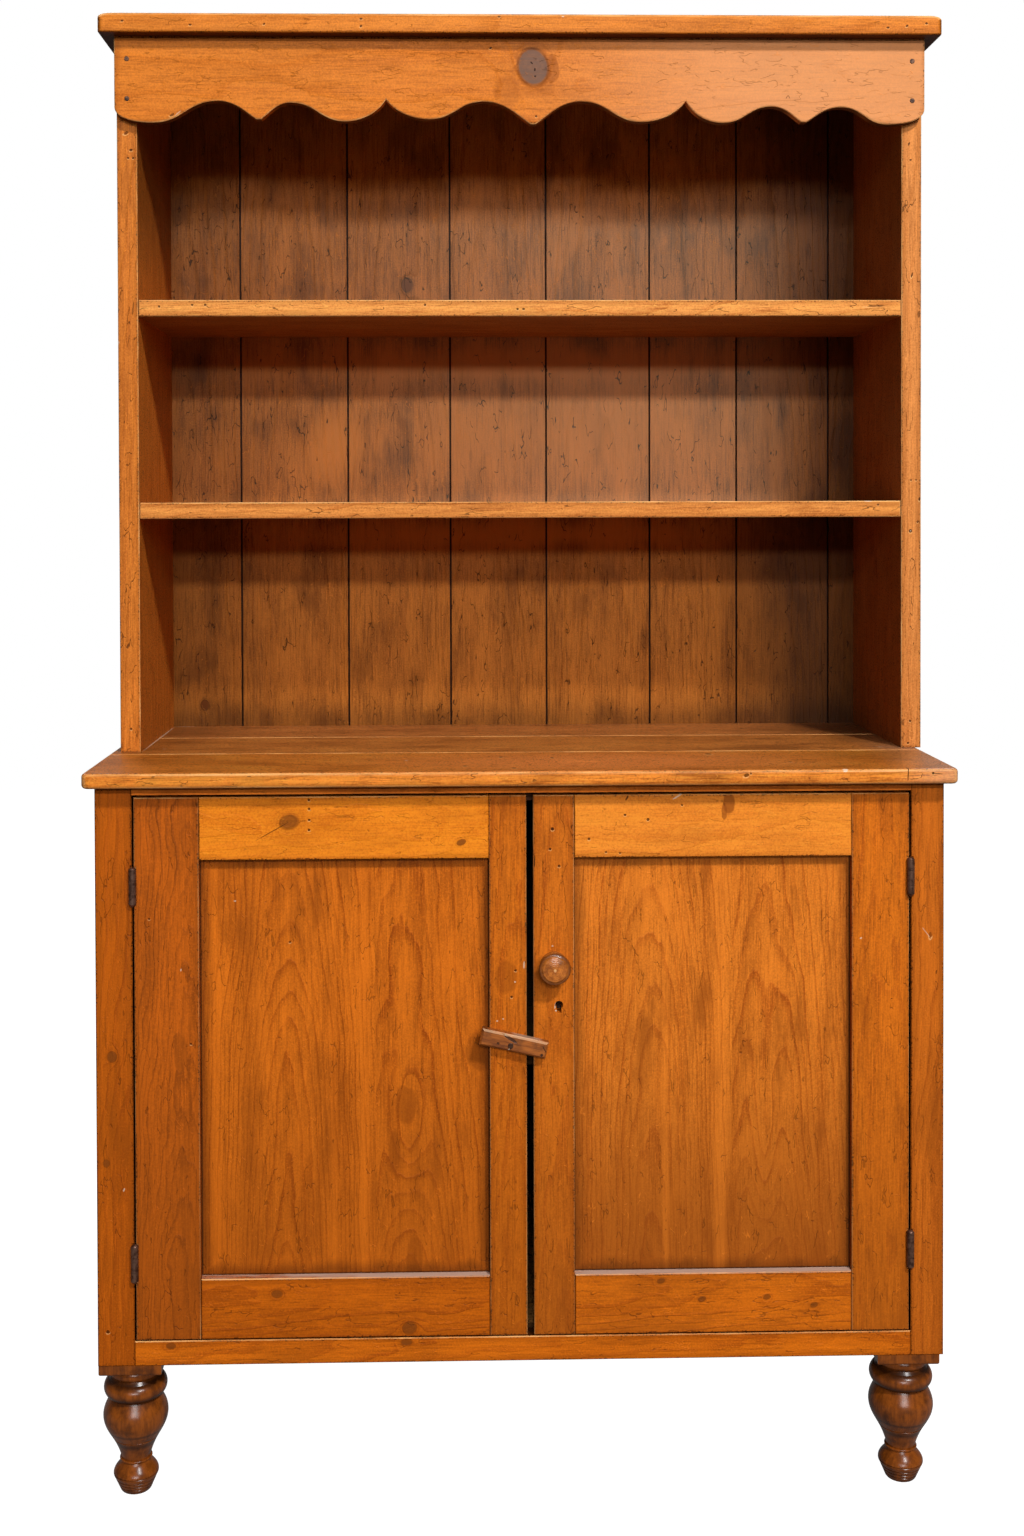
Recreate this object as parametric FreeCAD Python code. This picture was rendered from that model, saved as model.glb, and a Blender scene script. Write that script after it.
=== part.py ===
import FreeCAD, Part
import math
import os
from FreeCAD import Vector

# A step back cupboard in pine. An open upper case with two shelves and a scalloped frieze
# stands on a wider counter, over a lower case with two framed doors and four turned feet.
# Millimetres. +X is to the right, +Y to the back and +Z up. The origin is on the floor,
# in the middle of the whole piece's width and depth.

# ---- Heights, from the floor up ---------------------------------------------------------
foot_height = 182.0            # turned foot with its square pad
foot_pad_height = 14.0
lower_case_height = 760.5
counter_thickness = 20.0
upper_side_height = 994.5
cornice_thickness = 27.5

# ---- Widths and depths of the two cases -------------------------------------------------
upper_case_width = 1128.0
cornice_end_overhang = 19.0    # cornice past each side of the upper case
lower_case_inset = 8.0         # each end of the lower case inside the upper case's sides
counter_end_overhang = 12.5    # counter past each end of the lower case
lower_case_shift = -9.0        # the lower case and counter sit this far off the upper case's middle
lower_case_depth = 474.0       # from the back plane to the doors' face
counter_overhang = 28.0        # counter in front of the doors' face
upper_case_depth = 301.0       # from the back plane to the sides' front edges
cornice_overhang = 22.0        # cornice in front of the frieze

# ---- Upper case -------------------------------------------------------------------------
upper_side_thickness = 28.0
shelf_thickness = 22.5
middle_shelf_rise = 327.0      # counter top to the middle shelf's underside
upper_shelf_rise = 610.0       # counter top to the upper shelf's underside
housing_depth = 9.0            # shelf ends let into the sides
housing_stop = 12.0            # housings end this far behind the sides' front edges
shelf_shoulder_gap = 1.0       # between a shelf's front corner and the side
back_board_thickness = 14.0
back_rebate_width = 10.0
# Seams between the back boards, as parts of half the clear width
back_seams = [-0.799, -0.487, -0.188, 0.093, 0.397, 0.653, 0.924]
seam_width = 3.0               # shadow gap between two back boards
lap_width = 7.0                # tongue behind the next board
lap_play = 0.4
frieze_thickness = 16.0
cornice_end_drop = 7.0         # worn rounding of the cornice's two ends
cornice_end_run = 19.0
cornice_corner_radius = 7.0
cornice_edge_radius = 2.5

# Frieze outline from the left end: place as a part of half the frieze's width, and depth
# below the cornice. Lobes and crests are smooth, points are sawn tips that hang down, and
# notches are sharp and rise.
scallops = [
    ("lobe", -0.908, 118.6),
    ("crest", -0.747, 88.4),
    ("point", -0.647, 113.5),
    ("crest", -0.568, 90.5),
    ("lobe", -0.435, 116.3),
    ("notch", -0.334, 86.0),
    ("lobe", -0.228, 113.0),
    ("crest", -0.093, 88.4),
    ("point", 0.028, 119.6),
    ("crest", 0.148, 88.0),
    ("lobe", 0.296, 116.2),
    ("notch", 0.406, 87.0),
    ("lobe", 0.497, 117.3),
    ("crest", 0.619, 94.3),
    ("point", 0.699, 116.0),
    ("crest", 0.791, 95.0),
    ("lobe", 0.908, 119.0),
]
frieze_end_depth = 97.0        # straight part of the frieze's two ends
tip_width = 7.0
scallop_arris = 1.2            # worn edge along the scallops' front
# How far each kind of turning point pulls the curve, as parts of the run and of the rise
pull = {
    "lobe": (0.47, 0.0),
    "crest": (0.47, 0.0),
    "point": (0.26, 0.34),
    "notch": (0.16, 0.52),
    "end": (0.0, 0.75),
}
# Frieze nails: distance in from the frieze's end and depth below the cornice
frieze_nail_inset = 17.5
frieze_nail_depths = [31.0, 86.0]
nail_radius = 1.4
nail_head_radius = 3.4
nail_head_height = 0.8
nail_head_rounding = 0.56
nail_length = 38.0

# ---- Counter ----------------------------------------------------------------------------
counter_board_widths = [179.0, 170.0]   # front and middle board; the last one takes the rest
counter_seam = 1.0
counter_seam_arris = 1.4
counter_corner_radius = 11.0
counter_edge_radius = 5.0

# ---- Lower case -------------------------------------------------------------------------
left_post_width = 48.0
right_post_width = 43.5
post_thickness = 24.0
lower_side_thickness = 20.0
top_rail_thickness = 12.0
top_rail_depth = 70.0
bottom_rail_height = 32.5
rail_tenon_length = 25.0
rail_tenon_thickness = 9.0
rail_tenon_shoulder = 5.0
floor_thickness = 18.0
floor_lip = 6.5                # floor standing above the bottom rail, where the doors stop
floor_housing_depth = 6.0
inner_shelf_rise = 351.0       # floor board's top to the inner shelf's top
inner_shelf_thickness = 18.0
inner_shelf_setback = 60.0     # shelf front behind the doors' face
inner_shelf_play = 0.5
cleat_size = 20.0
cleat_setback = 12.0           # cleat ends short of the shelf's front
stop_strip_height = 14.0
stop_strip_depth = 12.0
lower_back_seams = [-186.0, 178.0]
lower_back_thickness = 12.0
foot_block_size = 90.0

# ---- Feet -------------------------------------------------------------------------------
foot_pad_width = 82.0
foot_pad_rounding = 4.0
foot_insets = {"left": 0.5, "right": 5.0, "front": 0.5, "back": 3.0}     # pad inside the case
foot_tenon_radius = 13.0
foot_tenon_length = 30.0
# Turned profile below the pad as (height above the floor, radius). It goes down from the
# top point in runs: one point is a straight step, two are an arc, more are a smooth curve.
foot_top = (168.0, 32.8)
foot_runs = [
    [(161.5, 35.4), (155.5, 32.6)],                                              # neck ring
    [(154.6, 31.2)],                                                             # quirk
    [(150.5, 34.4)],
    [(138.8, 41.6), (127.5, 35.2)],                                              # bead
    [(126.4, 33.6)],                                                             # quirk
    [(119.5, 37.2), (111.0, 41.0), (101.0, 42.6), (91.0, 40.8), (71.0, 30.2),
     (55.0, 22.6), (43.6, 19.2)],                                                # vase
    [(43.6, 20.6)],
    [(42.2, 21.4), (40.8, 20.6)],                                                # collar
    [(40.2, 19.4)],
    [(35.0, 22.4), (28.5, 27.6), (22.5, 29.6), (19.0, 28.4)],                    # base
    [(1.2, 20.6)],                                                               # taper
    [(0.0, 19.6)],
]
# Lines scribed round the foot, as (height, radius)
foot_scribes = [(72.0, 30.7), (23.0, 29.6), (16.0, 27.1), (11.0, 24.9), (6.0, 22.7)]
scribe_width = 1.7
scribe_depth = 0.8

# ---- Doors ------------------------------------------------------------------------------
door_thickness = 22.0
hinge_gap = 2.5
meeting_gap = 9.0
meeting_gap_offset = 10.5      # middle of the gap, off the lower case's middle
door_top_gap = 3.5
door_bottom_gap = 1.5
door_top_rail_height = 82.5
door_bottom_rail_height = 79.0
left_hinge_stile_width = 84.0
left_meeting_stile_width = 48.5
right_hinge_stile_width = 75.5
right_meeting_stile_width = 53.5
door_tenon_length = 34.0
door_tenon_thickness = 7.0
door_tenon_shoulder = 10.0
tenon_play = 0.15
shoulder_gap = 0.6
panel_thickness = 6.0
panel_recess = 13.0
panel_groove_depth = 9.0
panel_side_play = 1.5          # room for the panel to swell across its grain
panel_face_play = 0.1
arris = 1.2                    # softened edges

# ---- Hinges -----------------------------------------------------------------------------
hinge_height = 46.0            # three knuckles
knuckle_shares = [0.31, 0.42, 0.27]
knuckle_gap = 0.4
barrel_radius = 5.0
barrel_clearance = 0.5         # wood cut back round the barrel
pin_radius = 2.0
pin_play = 0.05
# Pin ends as (distance past the knuckles, radius), in the same kind of runs as the feet
pin_rim = (0.0, 4.7)
pin_dome = [[(1.75, 3.4), (2.5, 0.6)]]
pin_tip = [[(1.8, 2.9), (4.0, 0.8)]]
barrel_proud = 3.0             # pin centre in front of the doors' face
leaf_thickness = 1.8
leaf_gap = 0.5                 # between the closed leaves
leaf_width = 23.0
leaf_clearance = 0.1
left_hinge_rises = [102.0, 595.5]     # hinge middles above the doors' lower edge
right_hinge_rises = [108.5, 601.5]
screw_radius = 1.6
screw_head_radius = 3.0
screw_length = 14.0
screw_rises = [-0.32, 0.0, 0.32]      # along the leaf, as parts of its height
screw_run = 15.0               # from the pin to the screws

# ---- Knob, keyhole, lock and turn button ------------------------------------------------
knob_rise = 488.5              # above the doors' lower edge
knob_tenon_radius = 6.0
knob_tenon_length = 18.0
# Turned profile of the knob as (distance in front of the door, radius), in runs
knob_foot = (0.0, 17.0)
knob_runs = [
    [(2.6, 17.6), (5.0, 15.8)],                        # flange on the door
    [(8.0, 10.5), (15.0, 10.5)],                       # hollow neck
    [(18.6, 18.3), (23.0, 20.8), (26.6, 19.3)],        # rim of the head
    [(29.0, 12.5), (30.0, 0.8)],                       # nearly flat crown
]
keyhole_rise = 435.5           # middle of the keyhole's round part
keyhole_backset = 33.5         # from the door's meeting edge
keyhole_radius = 5.2
keyhole_slot_width = 6.4
keyhole_slot_drop = 10.5
lock_width = 46.0
lock_height = 66.0
lock_thickness = 12.0
lock_edge_inset = 2.0
lock_below_keyhole = 30.0      # keyhole's round part above the lock's lower end
key_chamber_radius = 13.4      # room for the key's bit to turn
key_chamber_depth = 9.0
bolt_length = 34.0
bolt_height = 13.0
bolt_thickness = 6.0
bolt_play = 0.25
bolt_rise = 18.5               # bolt's middle above the keyhole's round part
bolt_back_skin = 2.5           # metal behind the bolt
lock_screw_inset = 5.0
lock_screw_length = 20.0
button_length = 88.5
button_width = 21.7
button_thickness = 13.0
button_bevel = 2.6
button_tilt = 13.0             # right end hangs this many degrees low
button_rise = 386.4            # pivot above the doors' lower edge
button_from_edge = 21.5        # pivot from the left door's meeting edge
button_pivot_along = -3.7      # pivot from the button's middle, along it and across it
button_pivot_across = -3.0
button_face_gap = 0.6
button_screw_radius = 2.2
button_screw_head_radius = 3.6
button_screw_head_height = 1.4
button_screw_head_rounding = 0.9
button_screw_length = 16.0     # in the stile
button_hole_play = 0.06
button_head_gap = 0.3

margin = 1.0                   # how far a cutting box or bore runs past what it cuts
same_place = 0.01              # two places closer than this are one

# ---- Places worked out from the driving dimensions --------------------------------------
knob_projection = knob_runs[-1][-1][0]
front_reach = max(counter_overhang, knob_projection)
back_y = (lower_case_depth + front_reach) / 2
face_y = back_y - lower_case_depth
counter_front_y = face_y - counter_overhang
upper_front_y = back_y - upper_case_depth
frieze_front_y = upper_front_y - frieze_thickness
cornice_front_y = frieze_front_y - cornice_overhang
post_back_y = face_y + post_thickness
door_back_y = face_y + door_thickness

case_bottom_z = foot_height
case_top_z = case_bottom_z + lower_case_height
counter_top_z = case_top_z + counter_thickness
cornice_bottom_z = counter_top_z + upper_side_height

cornice_width = upper_case_width + 2 * cornice_end_overhang
lower_case_width = upper_case_width - 2 * lower_case_inset
counter_width = lower_case_width + 2 * counter_end_overhang
upper_outer = upper_case_width / 2
upper_inner = upper_outer - upper_side_thickness
lower_left = lower_case_shift - lower_case_width / 2
lower_right = lower_case_shift + lower_case_width / 2
opening_left = lower_left + left_post_width
opening_right = lower_right - right_post_width
side_left = lower_left + lower_side_thickness
side_right = lower_right - lower_side_thickness

bottom_rail_top_z = case_bottom_z + bottom_rail_height
floor_top_z = bottom_rail_top_z + floor_lip
floor_bottom_z = floor_top_z - floor_thickness
door_bottom_z = bottom_rail_top_z + door_bottom_gap
top_rail_bottom_z = case_top_z - top_rail_thickness
door_height = top_rail_bottom_z - door_top_gap - door_bottom_z
inner_shelf_top_z = floor_top_z + inner_shelf_rise
upper_back_front_y = back_y - back_board_thickness
lower_back_front_y = back_y - lower_back_thickness

pieces = {}


# ---- Small makers -----------------------------------------------------------------------
def box(x0, x1, y0, y1, z0, z1):
    """A board between two corners."""
    return Part.makeBox(x1 - x0, y1 - y0, z1 - z0, Vector(x0, y0, z0))


def rod(radius, length, start, direction):
    """A round bar from a point along a direction."""
    return Part.makeCylinder(radius, length, Vector(*start), Vector(*direction))


def edges_where(shape, test):
    """The straight or curved edges whose two ends both pass a test."""
    return [e for e in shape.Edges if all(test(v.Point) for v in e.Vertexes)]


def near(a, b):
    return abs(a - b) < same_place


def soften_front(shape, y, size=arris):
    """Take the arris off the edges that lie in the plane Y = y."""
    return shape.makeChamfer(size, edges_where(shape, lambda p: near(p.y, y)))


def screw(head_radius, radius, length, start, direction):
    """A countersunk screw: head flush at the start, shank along the direction."""
    drop = head_radius - radius
    head = Part.makeCone(head_radius, radius, drop, Vector(*start), Vector(*direction))
    return head.fuse(rod(radius, length, start, direction)).removeSplitter()


def lathe(first, runs, centre, axis):
    """Turn a profile of (station along the axis, radius) points round an axis."""
    edges, last = [], first
    for run in runs:
        knots = [Vector(r, 0, s) for s, r in [last] + run]
        if len(knots) == 2:
            edges.append(Part.makeLine(knots[0], knots[1]))
        elif len(knots) == 3:
            edges.append(Part.Arc(*knots).toShape())
        else:
            curve = Part.BSplineCurve()
            curve.interpolate(knots)
            edges.append(curve.toShape())
        last = run[-1]
    closing = [Vector(last[1], 0, last[0]), Vector(0, 0, last[0]), Vector(0, 0, first[0]),
               Vector(first[1], 0, first[0])]
    edges += [Part.makeLine(a, b) for a, b in zip(closing, closing[1:])]
    face = Part.Face(Part.Wire(Part.__sortEdges__(edges)))
    solid = face.revolve(Vector(0, 0, 0), Vector(0, 0, 1), 360)
    turn = FreeCAD.Rotation(Vector(0, 0, 1), Vector(*axis))
    solid.Placement = FreeCAD.Placement(Vector(*centre), turn)
    return solid if solid.Volume > 0 else solid.reversed()


def lapped_boards(seams, left, right, y0, y1, z0, z1):
    """Vertical boards with shadow gaps in front and a tongue lapped behind each next one."""
    boards = []
    middle_y = (y0 + y1) / 2
    stations = [left] + seams + [right]
    for a, b in zip(stations, stations[1:]):
        front_from = a if a == left else a + seam_width / 2
        front_to = b if b == right else b - seam_width / 2
        back_from = a if a == left else a + lap_width + lap_play
        back_to = b if b == right else b + lap_width
        front = box(front_from, front_to, y0, middle_y, z0, z1)
        back = box(back_from, back_to, middle_y, y1, z0, z1)
        boards.append(front.fuse(back).removeSplitter())
    return boards


# ---- Lower case -------------------------------------------------------------------------
def hinge_side(side):
    """What differs between the two doors, measured from each hinge edge towards the middle."""
    gap_middle = lower_case_shift + meeting_gap_offset
    if side == "left":
        edge = opening_left + hinge_gap
        width = gap_middle - meeting_gap / 2 - edge
        return edge, 1, width, left_hinge_stile_width, left_meeting_stile_width, left_hinge_rises
    edge = opening_right - hinge_gap
    width = edge - gap_middle - meeting_gap / 2
    return edge, -1, width, right_hinge_stile_width, right_meeting_stile_width, right_hinge_rises


def pin_x(side):
    edge, toward, *_ = hinge_side(side)
    return edge - toward * hinge_gap / 2


def hinge_spans(side):
    """Lowest and highest point of each hinge's barrel."""
    rises = hinge_side(side)[5]
    return [(door_bottom_z + r - hinge_height / 2, door_bottom_z + r + hinge_height / 2)
            for r in rises]


def leaf_box(side, owner, z0, z1, grow=0.0):
    """Flat of a hinge leaf: the owner is the post (-1) or the door (+1)."""
    toward = hinge_side(side)[1] * owner
    x = pin_x(side)
    inner = x + toward * leaf_gap / 2
    outer = x + toward * (leaf_gap / 2 + leaf_thickness + grow)
    front = face_y - barrel_proud
    return box(min(inner, outer), max(inner, outer), front, front + leaf_width + grow,
               z0 - grow, z1 + grow)


def hinge_recess(side, owner):
    """What a hinge takes out of the wood: a seat for the leaf and room for the barrel."""
    cuts = []
    front = face_y - barrel_proud
    for z0, z1 in hinge_spans(side):
        cuts.append(leaf_box(side, owner, z0, z1, leaf_clearance))
        low = z0 - pin_tip[-1][-1][0] - barrel_clearance
        height = z1 + pin_dome[-1][-1][0] + barrel_clearance - low
        radius = barrel_radius + barrel_clearance
        cuts.append(rod(radius, height, (pin_x(side), front, low), (0, 0, 1)))
        for run, z in screw_places(z0, z1):
            cuts.append(leaf_screw(side, owner, run, z))
    return Part.makeCompound(cuts)


def screw_places(z0, z1):
    middle, height = (z0 + z1) / 2, z1 - z0
    return [(screw_run, middle + share * height) for share in screw_rises]


def leaf_screw(side, owner, run, z):
    toward = hinge_side(side)[1] * owner
    start = (pin_x(side) + toward * leaf_gap / 2, face_y - barrel_proud + run, z)
    return screw(screw_head_radius, screw_radius, screw_length, start, (toward, 0, 0))


def make_post(side):
    x0, x1 = (lower_left, opening_left) if side == "left" else (opening_right, lower_right)
    post = box(x0, x1, face_y, post_back_y, case_bottom_z, case_top_z)
    post = soften_front(post, face_y)
    mortise = bottom_rail_tenons(tenon_play)
    return post.cut(mortise).cut(hinge_recess(side, -1))


def bottom_rail_tenons(play=0.0):
    middle_y = face_y + post_thickness / 2
    half = rail_tenon_thickness / 2 + play
    low = case_bottom_z + rail_tenon_shoulder - play
    high = bottom_rail_top_z - rail_tenon_shoulder + play
    reach = rail_tenon_length + play
    return box(opening_left - reach, opening_right + reach, middle_y - half, middle_y + half,
               low, high)


def make_bottom_rail():
    rail = box(opening_left, opening_right, face_y, post_back_y, case_bottom_z, bottom_rail_top_z)
    return soften_front(rail, face_y).fuse(bottom_rail_tenons())


def make_top_rail():
    front = box(opening_left, opening_right, face_y, post_back_y, top_rail_bottom_z, case_top_z)
    back = box(side_left, side_right, post_back_y, face_y + top_rail_depth,
               top_rail_bottom_z, case_top_z)
    return front.fuse(back).removeSplitter()


def make_lower_side(side):
    x0, x1 = (lower_left, side_left) if side == "left" else (side_right, lower_right)
    board = box(x0, x1, post_back_y, back_y, case_bottom_z, case_top_z)
    return board.cut(case_floor_box()).cut(lower_back_space())


def case_floor_box():
    return box(side_left - floor_housing_depth, side_right + floor_housing_depth, post_back_y,
               lower_back_front_y, floor_bottom_z, floor_top_z)


def lower_back_space():
    return box(side_left - back_rebate_width, side_right + back_rebate_width,
               lower_back_front_y, back_y, case_bottom_z, case_top_z)


def foot_centres():
    """Feet by name: middle of each pad."""
    half = foot_pad_width / 2
    xs = {"left": lower_left + half + foot_insets["left"],
          "right": lower_right - half - foot_insets["right"]}
    ys = {"front": face_y + half + foot_insets["front"],
          "back": back_y - half - foot_insets["back"]}
    return {f"{fore}_{side}_foot": (xs[side], ys[fore]) for fore in ys for side in xs}


def foot_tenon(x, y, play=0.0):
    return rod(foot_tenon_radius + play, foot_tenon_length + play, (x, y, case_bottom_z),
               (0, 0, 1))


def foot_tenon_holes():
    return Part.makeCompound([foot_tenon(x, y, tenon_play) for x, y in foot_centres().values()])


def make_foot_blocks():
    blocks = []
    for x0 in (side_left, side_right - foot_block_size):
        for y0 in (post_back_y, lower_back_front_y - foot_block_size):
            block = box(x0, x0 + foot_block_size, y0, y0 + foot_block_size,
                        case_bottom_z, floor_bottom_z)
            blocks.append(block.cut(foot_tenon_holes()))
    return Part.makeCompound(blocks)


def scribed_lines(x, y, stretch):
    """What the point of a chisel takes out of the turning foot: a V groove at each line."""
    rings = []
    for z, radius in foot_scribes:
        tip = Vector(radius - scribe_depth, 0, z * stretch)
        rim = [Vector(radius + scribe_depth, 0, z * stretch + way * scribe_width)
               for way in (-1, 1)]
        face = Part.Face(Part.makePolygon([tip, *rim, tip]))
        rings.append(face.revolve(Vector(0, 0, 0), Vector(0, 0, 1), 360))
    rings = Part.makeCompound(rings)
    rings.translate(Vector(x, y, 0))
    return rings


def make_foot(x, y):
    half = foot_pad_width / 2
    pad_bottom_z = case_bottom_z - foot_pad_height
    pad = box(x - half, x + half, y - half, y + half, pad_bottom_z, case_bottom_z)
    lower = edges_where(pad, lambda p: near(p.z, pad_bottom_z))
    pad = pad.makeFillet(foot_pad_rounding, lower)
    stretch = pad_bottom_z / foot_top[0]
    runs = [[(z * stretch, r) for z, r in run] for run in foot_runs]
    turned = lathe((pad_bottom_z, foot_top[1]), runs, (x, y, 0), (0, 0, 1))
    turned = turned.cut(scribed_lines(x, y, stretch))
    return pad.fuse([turned, foot_tenon(x, y)])


def make_inner_shelf():
    return box(side_left + inner_shelf_play, side_right - inner_shelf_play,
               face_y + inner_shelf_setback, lower_back_front_y - inner_shelf_play,
               inner_shelf_top_z - inner_shelf_thickness, inner_shelf_top_z)


def make_shelf_cleats():
    top = inner_shelf_top_z - inner_shelf_thickness
    front = face_y + inner_shelf_setback + cleat_setback
    back = lower_back_front_y
    left = box(side_left, side_left + cleat_size, front, back, top - cleat_size, top)
    right = box(side_right - cleat_size, side_right, front, back, top - cleat_size, top)
    return Part.makeCompound([left, right])


def make_stop_strip():
    return box(opening_left, opening_right, post_back_y, post_back_y + stop_strip_depth,
               top_rail_bottom_z - stop_strip_height, top_rail_bottom_z)


# ---- Counter ----------------------------------------------------------------------------
def make_counter():
    """Three boards side by side, cut from one top with a softened front edge."""
    x0 = lower_case_shift - counter_width / 2
    x1 = lower_case_shift + counter_width / 2
    top = box(x0, x1, counter_front_y, back_y, case_top_z, counter_top_z)
    corners = [e for e in top.Edges if all(near(v.Y, counter_front_y) for v in e.Vertexes)
               and near(e.Vertexes[0].X, e.Vertexes[1].X)]
    top = top.makeFillet(counter_corner_radius, corners)
    front = [e for e in top.Edges if near(e.BoundBox.ZLength, 0)
             and e.BoundBox.YMin < counter_front_y + counter_corner_radius / 2]
    top = top.makeFillet(counter_edge_radius, front)
    seams = [counter_front_y]
    for width in counter_board_widths:
        seams.append(seams[-1] + width)
    seams.append(back_y)
    boards = []
    for a, b in zip(seams, seams[1:]):
        start = a - margin if a == seams[0] else a + counter_seam / 2
        end = b + margin if b == seams[-1] else b - counter_seam / 2
        board = top.common(box(x0 - margin, x1 + margin, start, end,
                               case_top_z - margin, counter_top_z + margin))
        worn = edges_where(board, lambda p: near(p.z, counter_top_z)
                           and (near(p.y, start) or near(p.y, end)))
        boards.append(board.makeChamfer(counter_seam_arris, worn))
    return boards


# ---- Upper case -------------------------------------------------------------------------
def shelf_tongue(rise):
    """The long part of a shelf, whose ends fill the stopped housings in the sides."""
    z = counter_top_z + rise
    reach = upper_inner + housing_depth
    return box(-reach, reach, upper_front_y + housing_stop, upper_back_front_y,
               z, z + shelf_thickness)


def make_shelf(rise):
    z = counter_top_z + rise
    half = upper_inner - shelf_shoulder_gap
    front = box(-half, half, upper_front_y, upper_front_y + housing_stop, z, z + shelf_thickness)
    return soften_front(front, upper_front_y).fuse(shelf_tongue(rise)).removeSplitter()


def make_upper_side(side):
    x0, x1 = (-upper_outer, -upper_inner) if side == "left" else (upper_inner, upper_outer)
    board = box(x0, x1, upper_front_y, back_y, counter_top_z, cornice_bottom_z)
    board = soften_front(board, upper_front_y)
    rebate = box(-upper_inner - back_rebate_width, upper_inner + back_rebate_width,
                 upper_back_front_y, back_y, counter_top_z, cornice_bottom_z)
    cuts = [rebate, shelf_tongue(middle_shelf_rise), shelf_tongue(upper_shelf_rise),
            frieze_nails()]
    for cut in cuts:
        board = board.cut(cut)
    return board


def frieze_nails():
    nails = []
    for x in (-upper_outer + frieze_nail_inset, upper_outer - frieze_nail_inset):
        for depth in frieze_nail_depths:
            z = cornice_bottom_z - depth
            head = rod(nail_head_radius, nail_head_height, (x, frieze_front_y, z), (0, -1, 0))
            rim = edges_where(head, lambda p: near(p.y, frieze_front_y - nail_head_height))
            head = head.makeFillet(nail_head_rounding, rim)
            nails.append(head.fuse(rod(nail_radius, nail_length, (x, frieze_front_y, z),
                                       (0, 1, 0))))
    return Part.makeCompound(nails)


def curve_between(a, b):
    """One bend of the frieze: a cubic curve whose pull depends on each end's kind."""
    (kind_a, xa, za), (kind_b, xb, zb) = a, b
    run, rise = xb - xa, zb - za
    handle_a = Vector(xa + pull[kind_a][0] * run, 0, za + pull[kind_a][1] * rise)
    handle_b = Vector(xb - pull[kind_b][0] * run, 0, zb - pull[kind_b][1] * rise)
    curve = Part.BezierCurve()
    curve.setPoles([Vector(xa, 0, za), handle_a, handle_b, Vector(xb, 0, zb)])
    return curve.toShape()


def make_frieze():
    turns = [("end", -upper_outer, -frieze_end_depth)]
    turns += [(kind, share * upper_outer, -depth) for kind, share, depth in scallops]
    turns += [("end", upper_outer, -frieze_end_depth)]
    edges = []
    for a, b in zip(turns, turns[1:]):
        if a[0] == "point":
            a = (a[0], a[1] + tip_width / 2, a[2])
        if b[0] == "point":
            b = (b[0], b[1] - tip_width / 2, b[2])
            tip = [Vector(b[1], 0, b[2]), Vector(b[1] + tip_width, 0, b[2])]
            edges.append(Part.makeLine(*tip))
        edges.append(curve_between(a, b))
    left, right = turns[0], turns[-1]
    rim = [Vector(left[1], 0, left[2]), Vector(left[1], 0, 0), Vector(right[1], 0, 0),
           Vector(right[1], 0, right[2])]
    edges += [Part.makeLine(a, b) for a, b in zip(rim, rim[1:])]
    face = Part.Face(Part.Wire(Part.__sortEdges__(edges)))
    board = face.extrude(Vector(0, frieze_thickness, 0))
    board.translate(Vector(0, frieze_front_y, cornice_bottom_z))
    sawn = edges_where(board, lambda p: near(p.y, frieze_front_y)
                       and p.z < cornice_bottom_z - same_place)
    return board.makeChamfer(scallop_arris, sawn).cut(frieze_nails())


def make_cornice():
    """The top board, with worn ends, rounded front corners and softened long edges."""
    half = cornice_width / 2
    top = cornice_thickness
    side_top = top - cornice_end_drop
    flat_half = half - cornice_end_run

    def worn_end(start, corner, end):
        curve = Part.BezierCurve()
        curve.setPoles([start, corner, end])
        return curve.toShape()

    right_side, right_top = Vector(half, 0, side_top), Vector(flat_half, 0, top)
    left_side, left_top = Vector(-half, 0, side_top), Vector(-flat_half, 0, top)
    edges = [Part.makeLine(Vector(-half, 0, 0), Vector(half, 0, 0)),
             Part.makeLine(Vector(half, 0, 0), right_side),
             worn_end(right_side, Vector(half, 0, top), right_top),
             Part.makeLine(right_top, left_top),
             worn_end(left_top, Vector(-half, 0, top), left_side),
             Part.makeLine(left_side, Vector(-half, 0, 0))]
    board = Part.Face(Part.Wire(edges)).extrude(Vector(0, back_y - cornice_front_y, 0))
    board.translate(Vector(0, cornice_front_y, cornice_bottom_z))
    corners = [e for e in board.Edges if near(e.BoundBox.XLength, 0)
               and near(e.BoundBox.YLength, 0) and near(e.BoundBox.YMin, cornice_front_y)]
    board = board.makeFillet(cornice_corner_radius, corners)
    lower = [e for e in board.Edges if near(e.BoundBox.ZMax, cornice_bottom_z)
             and near(e.BoundBox.YMin, cornice_front_y) and near(e.BoundBox.YLength, 0)]
    return board.makeFillet(cornice_edge_radius, lower)


# ---- Doors ------------------------------------------------------------------------------
def door_maker(side):
    """A box maker in a door's own terms: u runs from its hinge edge, z from its lower edge."""
    edge, toward, *_ = hinge_side(side)

    def part(u0, u1, y0, y1, z0, z1):
        a, b = edge + toward * u0, edge + toward * u1
        return box(min(a, b), max(a, b), y0, y1, door_bottom_z + z0, door_bottom_z + z1)

    return part


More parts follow.
